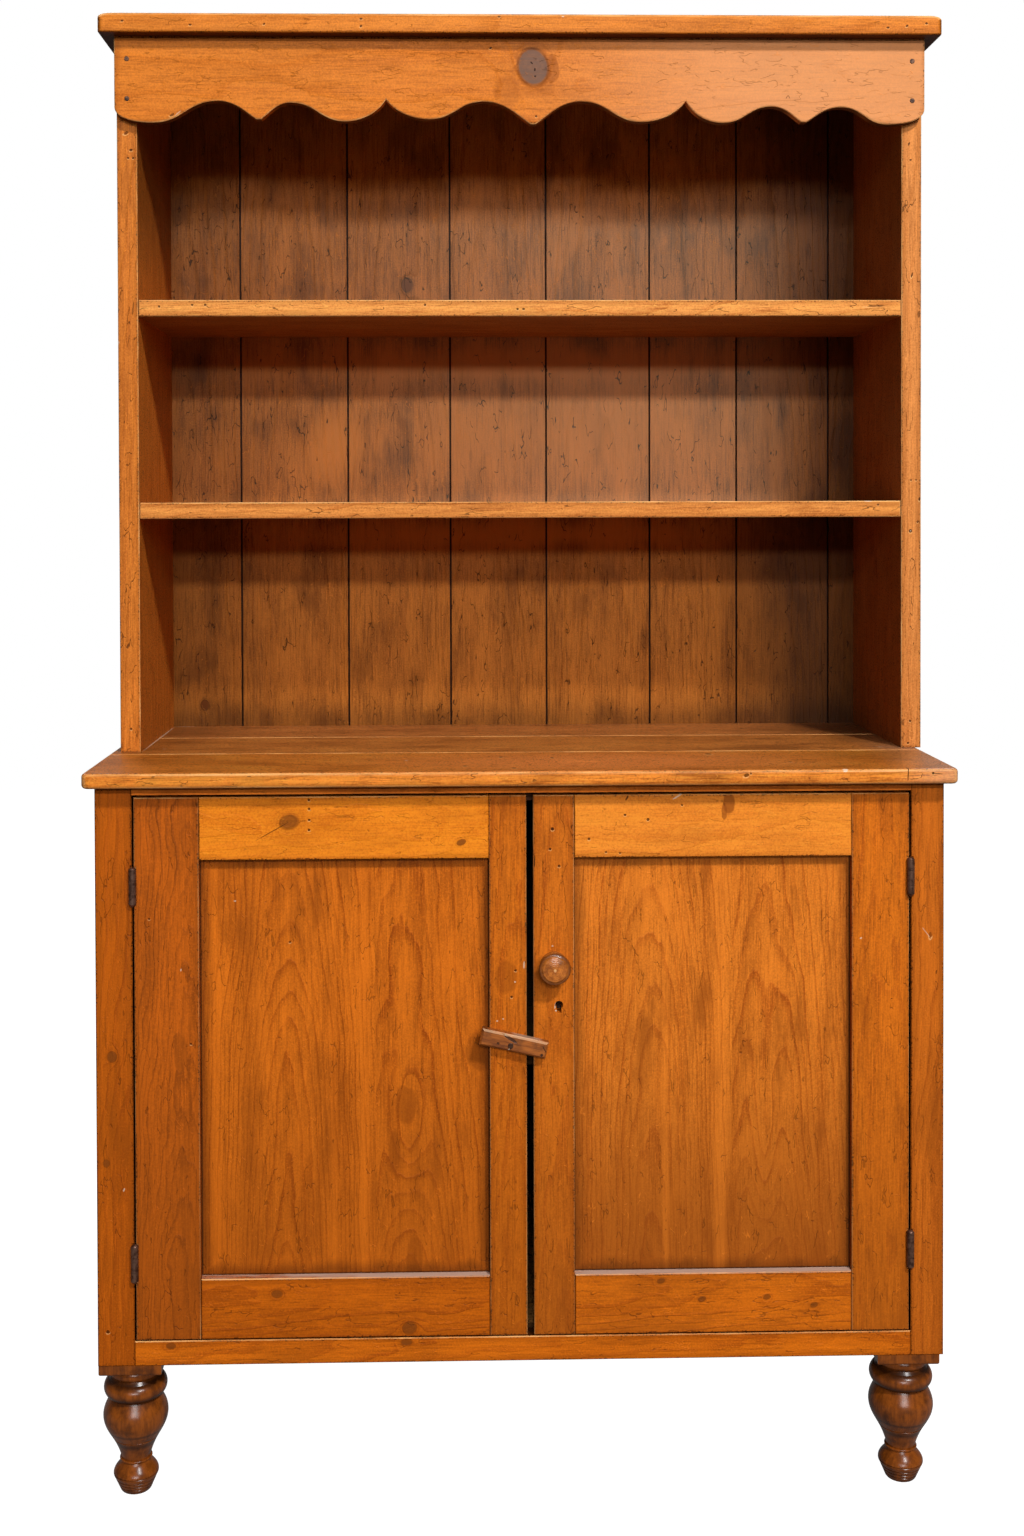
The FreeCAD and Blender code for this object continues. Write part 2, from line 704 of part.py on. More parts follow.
def make_door(side):
    edge, toward, width, hinge_stile, meeting_stile, _ = hinge_side(side)
    part = door_maker(side)
    rail_from, rail_to = hinge_stile, width - meeting_stile
    middle_y = face_y + panel_recess + panel_thickness / 2
    top_rail_z = door_height - door_top_rail_height

    def tenons(z0, z1, play=0.0):
        half = door_tenon_thickness / 2 + play
        reach = door_tenon_length + play
        return part(rail_from - reach, rail_to + reach, middle_y - half, middle_y + half,
                    z0 + door_tenon_shoulder - play, z1 - door_tenon_shoulder + play)

    def groove():
        half = panel_thickness / 2 + panel_face_play
        depth = panel_groove_depth
        return part(rail_from - depth, rail_to + depth, middle_y - half, middle_y + half,
                    door_bottom_rail_height - depth, top_rail_z + depth)

    def rail(z0, z1):
        bar = part(rail_from + shoulder_gap, rail_to - shoulder_gap, face_y, door_back_y, z0, z1)
        bar = soften_front(bar, face_y)
        return bar.fuse(tenons(z0, z1)).cut(groove())

    def stile(u0, u1):
        bar = soften_front(part(u0, u1, face_y, door_back_y, 0, door_height), face_y)
        for z0, z1 in ((0, door_bottom_rail_height), (top_rail_z, door_height)):
            bar = bar.cut(tenons(z0, z1, tenon_play))
        return bar.cut(groove())

    panel_reach = panel_groove_depth - panel_side_play
    panel = part(rail_from - panel_reach, rail_to + panel_reach, face_y + panel_recess,
                 face_y + panel_recess + panel_thickness,
                 door_bottom_rail_height - panel_groove_depth, top_rail_z + panel_reach)
    pieces[f"{side}_door_hinge_stile"] = stile(0, hinge_stile).cut(hinge_recess(side, 1))
    pieces[f"{side}_door_meeting_stile"] = stile(rail_to, width)
    pieces[f"{side}_door_top_rail"] = rail(top_rail_z, door_height)
    pieces[f"{side}_door_bottom_rail"] = rail(0, door_bottom_rail_height)
    pieces[f"{side}_door_panel"] = panel


# ---- Hinges -----------------------------------------------------------------------------
def knuckle_spans(z0, z1):
    """The three knuckles of one hinge, from the top down, with a hair's gap between them."""
    spans, top = [], z1
    for share in knuckle_shares:
        bottom = top - share * (z1 - z0)
        spans.append((bottom + knuckle_gap / 2, top - knuckle_gap / 2))
        top = bottom
    return spans


def hinge_leaf(side, owner, z0, z1, own_knuckles):
    """A leaf with its knuckles, bored for the pin and drilled for its screws."""
    x, y = pin_x(side), face_y - barrel_proud
    leaf = leaf_box(side, owner, z0 + knuckle_gap / 2, z1 - knuckle_gap / 2)
    for index, (low, high) in enumerate(knuckle_spans(z0, z1)):
        if index in own_knuckles:
            leaf = leaf.fuse(rod(barrel_radius, high - low, (x, y, low), (0, 0, 1)))
        else:
            room = barrel_radius + barrel_clearance
            gap_low, gap_high = low - knuckle_gap, high + knuckle_gap
            leaf = leaf.cut(rod(room, gap_high - gap_low, (x, y, gap_low), (0, 0, 1)))
    bore = rod(pin_radius + pin_play, z1 - z0 + 2 * margin, (x, y, z0 - margin), (0, 0, 1))
    leaf = leaf.cut(bore)
    for run, z in screw_places(z0, z1):
        leaf = leaf.cut(leaf_screw(side, owner, run, z))
    return leaf.removeSplitter()


def hinge_pin(side, z0, z1):
    """Pin with a domed top and a pointed lower tip, both nearly as wide as the knuckles."""
    x, y = pin_x(side), face_y - barrel_proud
    top, low = z1 - knuckle_gap / 2, z0 + knuckle_gap / 2
    shaft = rod(pin_radius, top - low, (x, y, low), (0, 0, 1))
    dome = lathe(pin_rim, pin_dome, (x, y, top), (0, 0, 1))
    tip = lathe(pin_rim, pin_tip, (x, y, low), (0, 0, -1))
    return shaft.fuse([dome, tip])


def make_hinges():
    post_leaves, pins, post_screws = [], [], []
    for side in ("left", "right"):
        door_leaves, door_screws = [], []
        for z0, z1 in hinge_spans(side):
            post_leaves.append(hinge_leaf(side, -1, z0, z1, (0, 2)))
            door_leaves.append(hinge_leaf(side, 1, z0, z1, (1,)))
            pins.append(hinge_pin(side, z0, z1))
            for run, z in screw_places(z0, z1):
                post_screws.append(leaf_screw(side, -1, run, z))
                door_screws.append(leaf_screw(side, 1, run, z))
        pieces[f"{side}_door_hinge_leaves"] = Part.makeCompound(door_leaves)
        pieces[f"{side}_door_hinge_screws"] = Part.makeCompound(door_screws)
    pieces["case_hinge_leaves"] = Part.makeCompound(post_leaves)
    pieces["case_hinge_screws"] = Part.makeCompound(post_screws)
    pieces["hinge_pins"] = Part.makeCompound(pins)


# ---- Knob, keyhole and lock on the right door -------------------------------------------
def meeting_edge(side):
    edge, toward, width, *_ = hinge_side(side)
    return edge + toward * width


def knob_place():
    return (meeting_edge("right") + right_meeting_stile_width / 2, door_bottom_z + knob_rise)


def make_knob():
    x, z = knob_place()
    return lathe(knob_foot, knob_runs, (x, face_y, z), (0, -1, 0)).fuse(knob_tenon())


def knob_tenon(play=0.0):
    x, z = knob_place()
    return rod(knob_tenon_radius + play, knob_tenon_length + play, (x, face_y, z), (0, 1, 0))


def keyhole_place():
    return (meeting_edge("right") + keyhole_backset, door_bottom_z + keyhole_rise)


def keyhole_cut(start_y, depth):
    x, z = keyhole_place()
    half = keyhole_slot_width / 2
    round_part = rod(keyhole_radius, depth, (x, start_y, z), (0, 1, 0))
    return round_part.fuse(box(x - half, x + half, start_y, start_y + depth,
                               z - keyhole_slot_drop, z))


def lock_box():
    x = meeting_edge("right") + lock_edge_inset
    z = door_bottom_z + keyhole_rise - lock_below_keyhole
    return box(x, x + lock_width, door_back_y, door_back_y + lock_thickness, z, z + lock_height)


def bolt_box(play=0.0):
    """The bolt drawn back: its nose is flush with the lock's edge."""
    x = meeting_edge("right") + lock_edge_inset
    z = door_bottom_z + keyhole_rise + bolt_rise
    back = door_back_y + lock_thickness - bolt_back_skin
    half = bolt_height / 2 + play
    return box(x - play, x + bolt_length + play, back - bolt_thickness - play, back + play,
               z - half, z + half)


def lock_screws():
    bounds = lock_box().BoundBox
    screws = []
    for x in (bounds.XMin + lock_screw_inset, bounds.XMax - lock_screw_inset):
        for z in (bounds.ZMin + lock_screw_inset, bounds.ZMax - lock_screw_inset):
            screws.append(screw(screw_head_radius, screw_radius, lock_screw_length,
                                (x, bounds.YMax, z), (0, -1, 0)))
    return Part.makeCompound(screws)


def make_lock():
    x, z = keyhole_place()
    chamber = rod(key_chamber_radius, key_chamber_depth, (x, door_back_y, z), (0, 1, 0))
    case = lock_box().cut(bolt_box(bolt_play)).cut(chamber).cut(lock_screws())
    pieces["lock_case"] = case
    pieces["lock_bolt"] = bolt_box()
    pieces["lock_screws"] = lock_screws()


# ---- Turn button on the left door -------------------------------------------------------
def button_pivot():
    return (meeting_edge("left") - button_from_edge, door_bottom_z + button_rise)


def button_screw_parts(play=0.0):
    """Shank through the button, with its head in front; the play is for the button's bore."""
    x, z = button_pivot()
    front = face_y - button_face_gap - button_thickness - button_head_gap
    shank_length = face_y + button_screw_length - front
    return rod(button_screw_radius + play, shank_length, (x, front, z), (0, 1, 0)), front


def make_button():
    x, z = button_pivot()
    length, width = button_length / 2, button_width / 2
    back = face_y - button_face_gap
    bar = box(x - length - button_pivot_along, x + length - button_pivot_along,
              back - button_thickness, back,
              z - width - button_pivot_across, z + width - button_pivot_across)
    front_edges = edges_where(bar, lambda p: near(p.y, back - button_thickness))
    bar = bar.makeChamfer(button_bevel, front_edges)
    bore, _ = button_screw_parts(button_hole_play)
    bar = bar.cut(bore)
    bar.rotate(Vector(x, back, z), Vector(0, 1, 0), button_tilt)
    return bar


def make_button_screw():
    x, z = button_pivot()
    shank, front = button_screw_parts()
    head = rod(button_screw_head_radius, button_screw_head_height, (x, front, z), (0, -1, 0))
    rim = edges_where(head, lambda p: near(p.y, front - button_screw_head_height))
    return head.makeFillet(button_screw_head_rounding, rim).fuse(shank)


# ---- Putting the cupboard together ------------------------------------------------------
for side in ("left", "right"):
    pieces[f"{side}_front_post"] = make_post(side)
    pieces[f"{side}_lower_side"] = make_lower_side(side)
    pieces[f"{side}_upper_side"] = make_upper_side(side)
    make_door(side)
pieces["top_rail"] = make_top_rail()
pieces["bottom_rail"] = make_bottom_rail()
pieces["case_floor"] = case_floor_box().cut(foot_tenon_holes())
pieces["inner_shelf"] = make_inner_shelf()
pieces["shelf_cleats"] = make_shelf_cleats()
pieces["door_stop_strip"] = make_stop_strip()
pieces["foot_blocks"] = make_foot_blocks()
for name, (x, y) in foot_centres().items():
    pieces[name] = make_foot(x, y)
lower_boards = lapped_boards([lower_case_shift + s for s in lower_back_seams],
                             side_left - back_rebate_width, side_right + back_rebate_width,
                             lower_back_front_y, back_y, case_bottom_z, case_top_z)
for index, board in enumerate(lower_boards, start=1):
    pieces[f"lower_back_board_{index}"] = board
for name, board in zip(("front", "middle", "back"), make_counter()):
    pieces[f"counter_{name}_board"] = board
upper_boards = lapped_boards([share * upper_inner for share in back_seams],
                             -upper_inner - back_rebate_width,
                             upper_inner + back_rebate_width, upper_back_front_y, back_y,
                             counter_top_z, cornice_bottom_z)
for index, board in enumerate(upper_boards, start=1):
    pieces[f"back_board_{index}"] = board
pieces["middle_shelf"] = make_shelf(middle_shelf_rise)
pieces["upper_shelf"] = make_shelf(upper_shelf_rise)
pieces["scalloped_frieze"] = make_frieze()
pieces["frieze_nails"] = frieze_nails()
pieces["cornice_board"] = make_cornice()
make_hinges()
pieces["door_knob"] = make_knob()
make_lock()
stile = pieces["right_door_meeting_stile"].cut(knob_tenon(tenon_play))
pieces["right_door_meeting_stile"] = stile.cut(keyhole_cut(face_y, door_thickness)).cut(lock_screws())
pieces["turn_button"] = make_button()
pieces["turn_button_screw"] = make_button_screw()
pieces["left_door_meeting_stile"] = pieces["left_door_meeting_stile"].cut(button_screw_parts()[0])

os.makedirs("parts", exist_ok=True)
for name, shape in sorted(pieces.items()):
    shape.exportStep(f"parts/{name}.step")
print(len(pieces), "pieces")
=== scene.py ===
# %% [markdown]
# # A step back cupboard in old honey pine
#
# The cupboard is already built as solid parts: boards, doors, hinges, feet. This lesson gives
# each of them the finish that a hundred years of wax, light and hands leave on pine, with some
# of the studio's shade and sheen painted into it, and sets up the camera, the lamps and a white
# floor. No shape is added, because the joiner's model already has every board, bead and screw.

# %% Load the parts and measure them
import math
import random
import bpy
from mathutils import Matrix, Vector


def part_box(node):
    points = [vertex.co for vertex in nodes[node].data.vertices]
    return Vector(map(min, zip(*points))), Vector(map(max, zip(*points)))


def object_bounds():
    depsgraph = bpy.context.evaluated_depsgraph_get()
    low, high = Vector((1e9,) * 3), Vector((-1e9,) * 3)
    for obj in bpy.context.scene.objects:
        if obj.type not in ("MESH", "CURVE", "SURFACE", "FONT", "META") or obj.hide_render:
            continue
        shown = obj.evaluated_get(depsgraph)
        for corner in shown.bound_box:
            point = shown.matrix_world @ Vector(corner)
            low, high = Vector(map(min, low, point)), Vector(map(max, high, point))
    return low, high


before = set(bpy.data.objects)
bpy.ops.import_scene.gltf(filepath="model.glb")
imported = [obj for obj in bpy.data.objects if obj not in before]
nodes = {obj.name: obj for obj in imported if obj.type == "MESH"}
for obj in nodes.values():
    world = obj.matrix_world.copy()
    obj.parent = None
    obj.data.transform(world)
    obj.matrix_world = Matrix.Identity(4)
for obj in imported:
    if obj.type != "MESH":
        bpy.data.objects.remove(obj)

from types import SimpleNamespace

import bmesh
import bpy
from mathutils import Matrix, Vector

MM = 0.001                       # the parts are in metres, and a joiner thinks in millimetres
cad_low, cad_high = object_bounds()
print(len(nodes), "parts, size in mm:", [round((b - a) / MM) for a, b in zip(cad_low, cad_high)])


# %% [markdown]
# ## The camera
#
# A camera with a lens shift keeps uprights upright: it stays level, like a view camera with a
# raised back, and the picture is slid over the lens instead of tilting it. The aim is set by
# three small angles, because a person who holds a camera is never quite square to a cupboard.

# %% Set the camera
picture_width, picture_height = 1024, 1536
sensor = 36.0                    # millimetres
focal_in_pixels = 1701.3
optical_centre = (490.1, 541.1)  # pixels from the picture's left and top
eye = Vector((-99.5, -2439.1, 1295.6)) * MM
yaw, pitch, roll = (math.radians(a) for a in (1.301, 0.929, 0.165))
nearest, farthest = 0.05, 60     # metres that the camera sees

across = Vector((math.cos(yaw), -math.sin(yaw), 0))
level_ahead = Vector((math.sin(yaw), math.cos(yaw), 0))
ahead = level_ahead * math.cos(pitch) - Vector((0, 0, 1)) * math.sin(pitch)
upright = across.cross(ahead)
right = across * math.cos(roll) - upright * math.sin(roll)
up = across * math.sin(roll) + upright * math.cos(roll)

lens = bpy.data.cameras.new("studio_camera")
lens.sensor_fit = "AUTO"
lens.sensor_width = sensor
lens.lens = focal_in_pixels * sensor / picture_height
lens.shift_x = (picture_width / 2 - optical_centre[0]) / picture_height
lens.shift_y = (optical_centre[1] - picture_height / 2) / picture_height
lens.clip_start, lens.clip_end = nearest, farthest
camera = bpy.data.objects.new("studio_camera", lens)
camera.matrix_world = Matrix((right, up, -ahead)).transposed().to_4x4()
camera.location = eye
scene = bpy.context.scene
scene.collection.objects.link(camera)
scene.camera = camera
scene.view_settings.view_transform = "Standard"
print("lens", round(lens.lens, 2), "mm, shift", round(lens.shift_x, 4), round(lens.shift_y, 4))


# %% [markdown]
# ## Writing shaders as sums
#
# A finish is a network of nodes, and a long network is hard to read. Here one small class wraps
# a socket, so that `rings * 0.5 + fibre` makes the two Math nodes by itself. Every other node
# comes from one method, `add`, that takes the node's type, its settings and its inputs.

# %% A socket with Python's arithmetic
class Wire:
    """One output socket of a network. Sums on wires add Math nodes."""

    def __init__(self, network, socket):
        self.network, self.socket = network, socket

    def beside(self, name):
        """Another output of the same node."""
        return Wire(self.network, self.socket.node.outputs[name])

    def __add__(self, other):
        return self.network.sum("ADD", self, other)

    def __sub__(self, other):
        return self.network.sum("SUBTRACT", self, other)

    def __rsub__(self, other):
        return self.network.sum("SUBTRACT", other, self)

    def __mul__(self, other):
        return self.network.sum("MULTIPLY", self, other)

    def __truediv__(self, other):
        return self.network.sum("DIVIDE", self, other)

    def __rtruediv__(self, other):
        return self.network.sum("DIVIDE", other, self)

    def __pow__(self, other):
        return self.network.sum("POWER", self, other)

    def __rpow__(self, other):
        return self.network.sum("POWER", other, self)

    __radd__ = __add__
    __rmul__ = __mul__


print("reflected forms:", [name for name in vars(Wire) if name.startswith("__r")])


# %% A network that grows one node at a time
class Network:
    """A tree of nodes. Most methods add nodes and give back the wire that comes out."""

    def __init__(self, tree):
        self.tree = tree

    def feed(self, socket, value):
        """Link a wire to an input, or set the input's value."""
        if isinstance(value, Wire):
            self.tree.links.new(value.socket, socket)
        else:
            socket.default_value = value

    def add(self, kind, settings=None, inputs=None, output=0):
        """A node of a kind: its settings first, then values or wires for its inputs."""
        node = self.tree.nodes.new("ShaderNode" + kind)
        for name, value in (settings or {}).items():
            setattr(node, name, value)
        for name, value in (inputs or {}).items():
            self.feed(node.inputs[name], value)
        return Wire(self, node.outputs[output])

    def sum(self, operation, *values):
        return self.add("Math", {"operation": operation}, dict(enumerate(values)))

    def split(self, vector):
        parts = self.add("SeparateXYZ", inputs={0: vector})
        return [parts.beside(name) for name in "XYZ"]

    def point(self, x, y, z):
        return self.add("CombineXYZ", inputs={0: x, 1: y, 2: z})

    def rise(self, value, low, high, start=0.0, end=1.0):
        """A smooth step from start to end while the value goes from low to high."""
        settings = {"interpolation_type": "SMOOTHSTEP"}
        return self.add("MapRange", settings, {0: value, 1: low, 2: high, 3: start, 4: end})

    def fade(self, value, low, high, start=1.0):
        """A smooth step from start down to 0."""
        return self.rise(value, low, high, start, 0.0)

    def hump(self, value, start, full, fading, end):
        """0 up to start, 1 from full to fading, and 0 again past the end."""
        return self.rise(value, start, full) * self.fade(value, fading, end)

    def least(self, *values):
        """The smallest of four wires."""
        first, second, third, fourth = values
        return self.sum("MINIMUM", self.sum("MINIMUM", first, second),
                        self.sum("MINIMUM", third, fourth))

    def length(self, u, v):
        return self.sum("SQRT", u * u + v * v)

    def noise(self, vector, detail=2.0, roughness=0.5, output=0):
        return self.add("TexNoise", {"noise_dimensions": "3D"},
                        {"Vector": vector, "Scale": 1.0, "Detail": detail,
                         "Roughness": roughness}, output)

    def blend(self, amount, first, second, mode="MIX"):
        """Two colours mixed: 0 is the first and 1 the second."""
        settings = {"data_type": "RGBA", "blend_type": mode, "clamp_factor": True}
        return self.add("Mix", settings, {0: amount, 6: first, 7: second}, 2)


print("kinds of sum and mask:", [name for name in vars(Network) if not name.startswith("_")])


# %% A finish, which is painted coat by coat
class Finish(Network):
    """A material being built. x, y and z are the place on the object in millimetres."""

    def __init__(self, name, colour):
        self.material = bpy.data.materials.new(name)
        self.material.use_nodes = True
        super().__init__(self.material.node_tree)
        self.surface = self.tree.nodes["Principled BSDF"]
        place = self.add("TexCoord", output="Object")
        self.x, self.y, self.z = (axis * (1 / MM) for axis in self.split(place))
        self.colour = colour
        self.height = None

    def paint(self, amount, colour, mode="MIX"):
        """Lay one more colour over what is there."""
        self.colour = self.blend(amount, self.colour, colour, mode)

    def done(self, roughness, specular=0.25, metallic=0.0):
        """Join the colour and the height, which is in millimetres, to the surface."""
        values = {"Base Color": self.colour, "Roughness": roughness,
                  "Specular IOR Level": specular, "Metallic": metallic}
        if self.height is not None:
            values["Normal"] = self.add("Bump", inputs={"Height": self.height, "Distance": MM,
                                                        "Strength": 1.0})
        for name, value in values.items():
            self.feed(self.surface.inputs[name], value)
        return self.material


def dress(name, material):
    """Give one part one material."""
    nodes[name].data.materials.clear()
    nodes[name].data.materials.append(material)


def tone(red, green, blue):
    """A colour as a painter's eight-bit numbers, turned into light."""
    def light(value):
        value /= 255
        return value / 12.92 if value <= 0.04045 else ((value + 0.055) / 1.055) ** 2.4
    return (light(red), light(green), light(blue), 1.0)


print("a mid honey is", [round(v, 3) for v in tone(200, 110, 40)[:3]])


# %% [markdown]
# ## Backdrop and lamps
#
# The key lamp stands high on the right, so that shadows fall down and to the left. Two wide
# strips far behind the camera fill the shelves: a strip is soft sideways and sharp up and
# down, so each shelf throws one level edge of shadow for each strip. A weak lamp overhead
# lights the counter, and two large dim boxes behind keep the back readable when the camera
# walks round. The backdrop is white only to the camera: diffuse light from it stays low, so
# that the shelves keep their depth, and reflections find a dim room.

# %% Hang the backdrop
room_light = 0.034               # what comes from everywhere, as a share of white
mirrored_room = (0.07, 0.1)      # how bright reflections find the room, in front and behind
turn_to_back = (-0.1, 0.6)       # how far a reflection points backwards between the two


def ray_kinds(network):
    """Wires that are 1 for the camera's own rays, and for rays in a mirror or a glass."""
    path = network.add("LightPath")
    mirrored = network.sum("MAXIMUM", path.beside("Is Glossy Ray"),
                           path.beside("Is Transmission Ray"))
    return path.beside("Is Camera Ray"), mirrored


world = bpy.data.worlds.new("studio")
world.use_nodes = True
scene.world = world
studio = Network(world.node_tree)
direction = studio.split(studio.add("TexCoord", output="Generated"))
eye_ray, mirrored = ray_kinds(studio)
backdrop = studio.rise(direction[1], *turn_to_back, *mirrored_room)
strength = studio.sum("MAXIMUM", eye_ray, mirrored * backdrop)
strength = studio.sum("MAXIMUM", strength, room_light)
background = world.node_tree.nodes["Background"]
background.inputs["Color"].default_value = (1, 1, 1, 1)
studio.feed(background.inputs["Strength"], strength)
print("the backdrop has", len(world.node_tree.nodes), "nodes")


# %% Light the studio
aim = Vector((0, 0, 1.15))       # metres: every lamp points just above the counter


def lamp(name, turn, rise, distance, size, power):
    """A softbox, turned from the camera's side to the right, raised, and aimed at the case.

    The angles are in degrees, the distance and the size in metres and the power in watts.
    """
    light = bpy.data.lights.new(name, "AREA")
    light.shape = "RECTANGLE"
    light.size, light.size_y = size
    light.energy = power
    holder = bpy.data.objects.new(name, light)
    turn, rise = math.radians(turn), math.radians(rise)
    way = Vector((math.sin(turn) * math.cos(rise), -math.cos(turn) * math.cos(rise),
                  math.sin(rise)))
    holder.location = aim + way * distance
    holder.rotation_euler = way.to_track_quat("Z", "Y").to_euler()
    scene.collection.objects.link(holder)


lamp("key_lamp", turn=26, rise=42, distance=6.5, size=(0.5, 0.5), power=292)
lamp("low_fill_strip", turn=3, rise=12.1, distance=11.25, size=(4.5, 0.5), power=233)
lamp("high_fill_strip", turn=3, rise=20.6, distance=11.75, size=(4.5, 0.5), power=464)
lamp("top_lamp", turn=0, rise=80, distance=4.0, size=(1.5, 1.5), power=18)
for side, turn in (("left", -150), ("right", 150)):
    lamp(f"back_lamp_{side}", turn, rise=35, distance=5.0, size=(2.0, 2.0), power=60)


# %% [markdown]
# ## The floor
#
# A roll of white paper under the feet catches a soft contact shadow. It glows, so that past
# the shadow it can't be told from the backdrop, and it glows less near the feet, where the
# shadow lies. Polished feet would mirror all of that glow, so they are shown a small share.

# %% Lay the floor
floor_reach = 6.0                # metres
floor_sides = 64
contact_reach = 320.0            # millimetres past the feet over which the shadow fades
glow_at_feet = 0.86              # the share of the glow that is left right at the feet
paper_glow = 1.2
mirrored_glow = 0.16             # the share of the glow that reflections see

bm = bmesh.new()
bmesh.ops.create_circle(bm, cap_ends=True, radius=floor_reach, segments=floor_sides)
mesh = bpy.data.meshes.new("floor")
bm.to_mesh(mesh)
bm.free()
floor = bpy.data.objects.new("floor", mesh)
scene.collection.objects.link(floor)

paper = Finish("floor_paper", tone(243, 243, 242))
half_width, half_depth = ((cad_high[i] - cad_low[i]) / 2 / MM for i in (0, 1))
past_x = paper.sum("MAXIMUM", paper.sum("ABSOLUTE", paper.x) - half_width, 0.0)
past_y = paper.sum("MAXIMUM", paper.sum("ABSOLUTE", paper.y) - half_depth, 0.0)
past = paper.length(past_x, past_y)
pulp = paper.noise(paper.point(paper.x * 0.02, paper.y * 0.02, 0.0), detail=4)
paper.paint(pulp, tone(248, 248, 247))
eye_ray, mirrored = ray_kinds(paper)
paper.colour = paper.blend(eye_ray, tone(96, 94, 92), paper.colour)
floor.data.materials.append(paper.done(0.9, specular=0.0))

shown = paper.sum("MAXIMUM", eye_ray, mirrored * mirrored_glow)
white_part = shown * paper.rise(past, 0.0, contact_reach, glow_at_feet, 1.0)
glow = paper.add("Emission", inputs={"Strength": paper_glow})
mixed = paper.add("MixShader",
                  inputs={0: white_part, 1: Wire(paper, paper.surface.outputs[0]), 2: glow})
paper.feed(paper.tree.nodes["Material Output"].inputs["Surface"], mixed)
print("paper", 2 * floor_reach, "m across, shadow", contact_reach, "mm past the feet")


# %% [markdown]
# ## What a pine board looks like
#
# Old pine is layered: pale wood, darker late lines, fine fibres that catch dirt, broad clouds
# of patina, short dark flecks of resin, worn light arrises that also carry a painted highlight,
# and dust with a painted sheen on every ledge. Painted shade and sheen stand in for the light
# in gaps, corners and bays. Each layer is one mask, so a maker can turn one up or down for a
# board without touching the rest. The usual values stand here, and each board says only what
# is different about it.

# %% The usual look of a board
# the tone of dirt, and of painted shade in gaps, corners, bays and under things
dirt_and_shade = tone(40, 18, 6)
# chalky scratches in the wax, and the painted sheen at the counter's right end
chalk_and_sheen = tone(226, 200, 172)
# a painted sheen on the counter top
painted_sheen = tone(255, 150, 74)
# worn arrises with a painted highlight, and the painted highlight on a hole's lip
worn_edge_and_highlight = tone(250, 192, 122)

usual_look = {
    # The wood
    "pale": tone(240, 152, 62),      # early wood
    "late": tone(196, 98, 26),       # late wood
    "patina": tone(140, 68, 14),     # what wax and smoke leave, and the tone of some painted shade
    "lift": (1.0, 1.0, 1.0),         # how much brighter these are in red, green and blue
    "gloss": 0.46,                   # the roughness of the wax
    "specular": 0.08,
    # The years. Places are in millimetres
    "heart": (0, 70),                # the trunk's middle from the board's, across and through
    "lean": (0.0, 0.03),             # how far that middle moves for each step along the board
    "ring": 5.0,                     # the width of a year
    "wobble": 26.0,                  # how far long waves push the years
    "ripple": 9.0,                   # how far short waves push them
    "contrast": 0.68,
    "joint": None,                   # a glued seam: its x, and how far the trunk shifts there
    "knots": (),                     # (x, z, half width, half height, turn, darkness)
    "swells": (),                    # years that bulge: (x, z, half width, half height, bulge)
    # The layers, each from 0 to 1 or a little more
    "streaks": 0.4,
    "fine_grain": 1.0,
    "dirt_in_grain": 1.0,
    "clouds": 0.55,
    "mottle": 0.0,                   # smoke that ignores the grain
    "flecks": 0.5,
    "strokes": 0.4,                  # cracks and pale bruises along the grain
    "edges": 0.4,                    # dirt round the rim of the front
    "dust": 0.0,                     # dust with a painted sheen, on faces that look up
    "worn": (0.7, -0.6),             # wear with a painted highlight on arrises that look up, and on the others. Dark below 0
    # What has a place. An amount or a darkness below 0 is pale
    "fall": None,                    # darkening downwards, painted shade of the lamps' falloff and darker wood: (high z, low z, amount)
    "drift": None,                   # another tone sideways: (tone, start x, end x, amount)
    "bands": (),                     # streaks along an upright board: (x, half width, amount)
    "patches": (),                   # stains, painted shadows and painted light on the front: (x, z, half width, half height, amount)
    "pools": (),                     # painted shade on the top, painted sheen below 0: (x, y, half width, half depth, amount)
    "marks": (),                     # (x, z, half length, half width, turn, darkness)
    "top_marks": (),                 # the same in x and y
    "corners": None,                 # grime and painted shade along a frame's inner edge: (x, x, z, z)
    "haze": None,                    # a painted grey sheen above the middle shelf, left and right
    "soot": (),                      # painted shade, darkening upwards: (low z, high z, amount, ceiling z)
    "hidden": (),                    # faces that look into a gap, darkened with dirt and painted shade: (way, amount, depth), and
                                     # heights (from z, to z) where it isn't the whole face
}
random.seed(7)                   # every board draws its place in the noises, always the same
print("a board's look has", len(usual_look), "settings")


# %% [markdown]
# ## Where a board lies in its trunk
#
# Grain runs along a board, so every noise is stretched along the trunk. The numbers in the
# table are waves per millimetre across the trunk and along it. A seed of its own moves each
# board to another part of the noise, so no two boards are alike. The masks for the front and
# the top come from the way a face looks, so a mark on the front doesn't show on the back.

# %% A board with its trunk, its noises and its faces
noises = {                       # across, along, axis moved by the seed, detail, roughness
    "wave": (0.005, 0.0024, 0, 2, 0.55),
    "ripple": (0.03, 0.009, 1, 3, 0.55),
    "broad": (0.05, 0.0022, 0, 3, 0.6),
    "fine": (0.5, 0.022, 1, 3, 0.7),
    "fibre": (2.4, 0.05, 2, 2, 0.6),
    "cloud": (0.022, 0.007, 0, 5, 0.62),
    "lines": (0.07, 0.026, 1, 2, 0.5),
    "grit": (0.42, 0.42, 2, 1, 0.5),
    "smoke": (0.016, 0.009, 0, 4, 0.58)}
fleck_waves = (0.11, 0.03, 0)
front_skin = (14.0, 8.0)         # a mark on the front ends between these depths, in millimetres
past_joint = 347.0               # how far along the trunk a board's second half was sawn


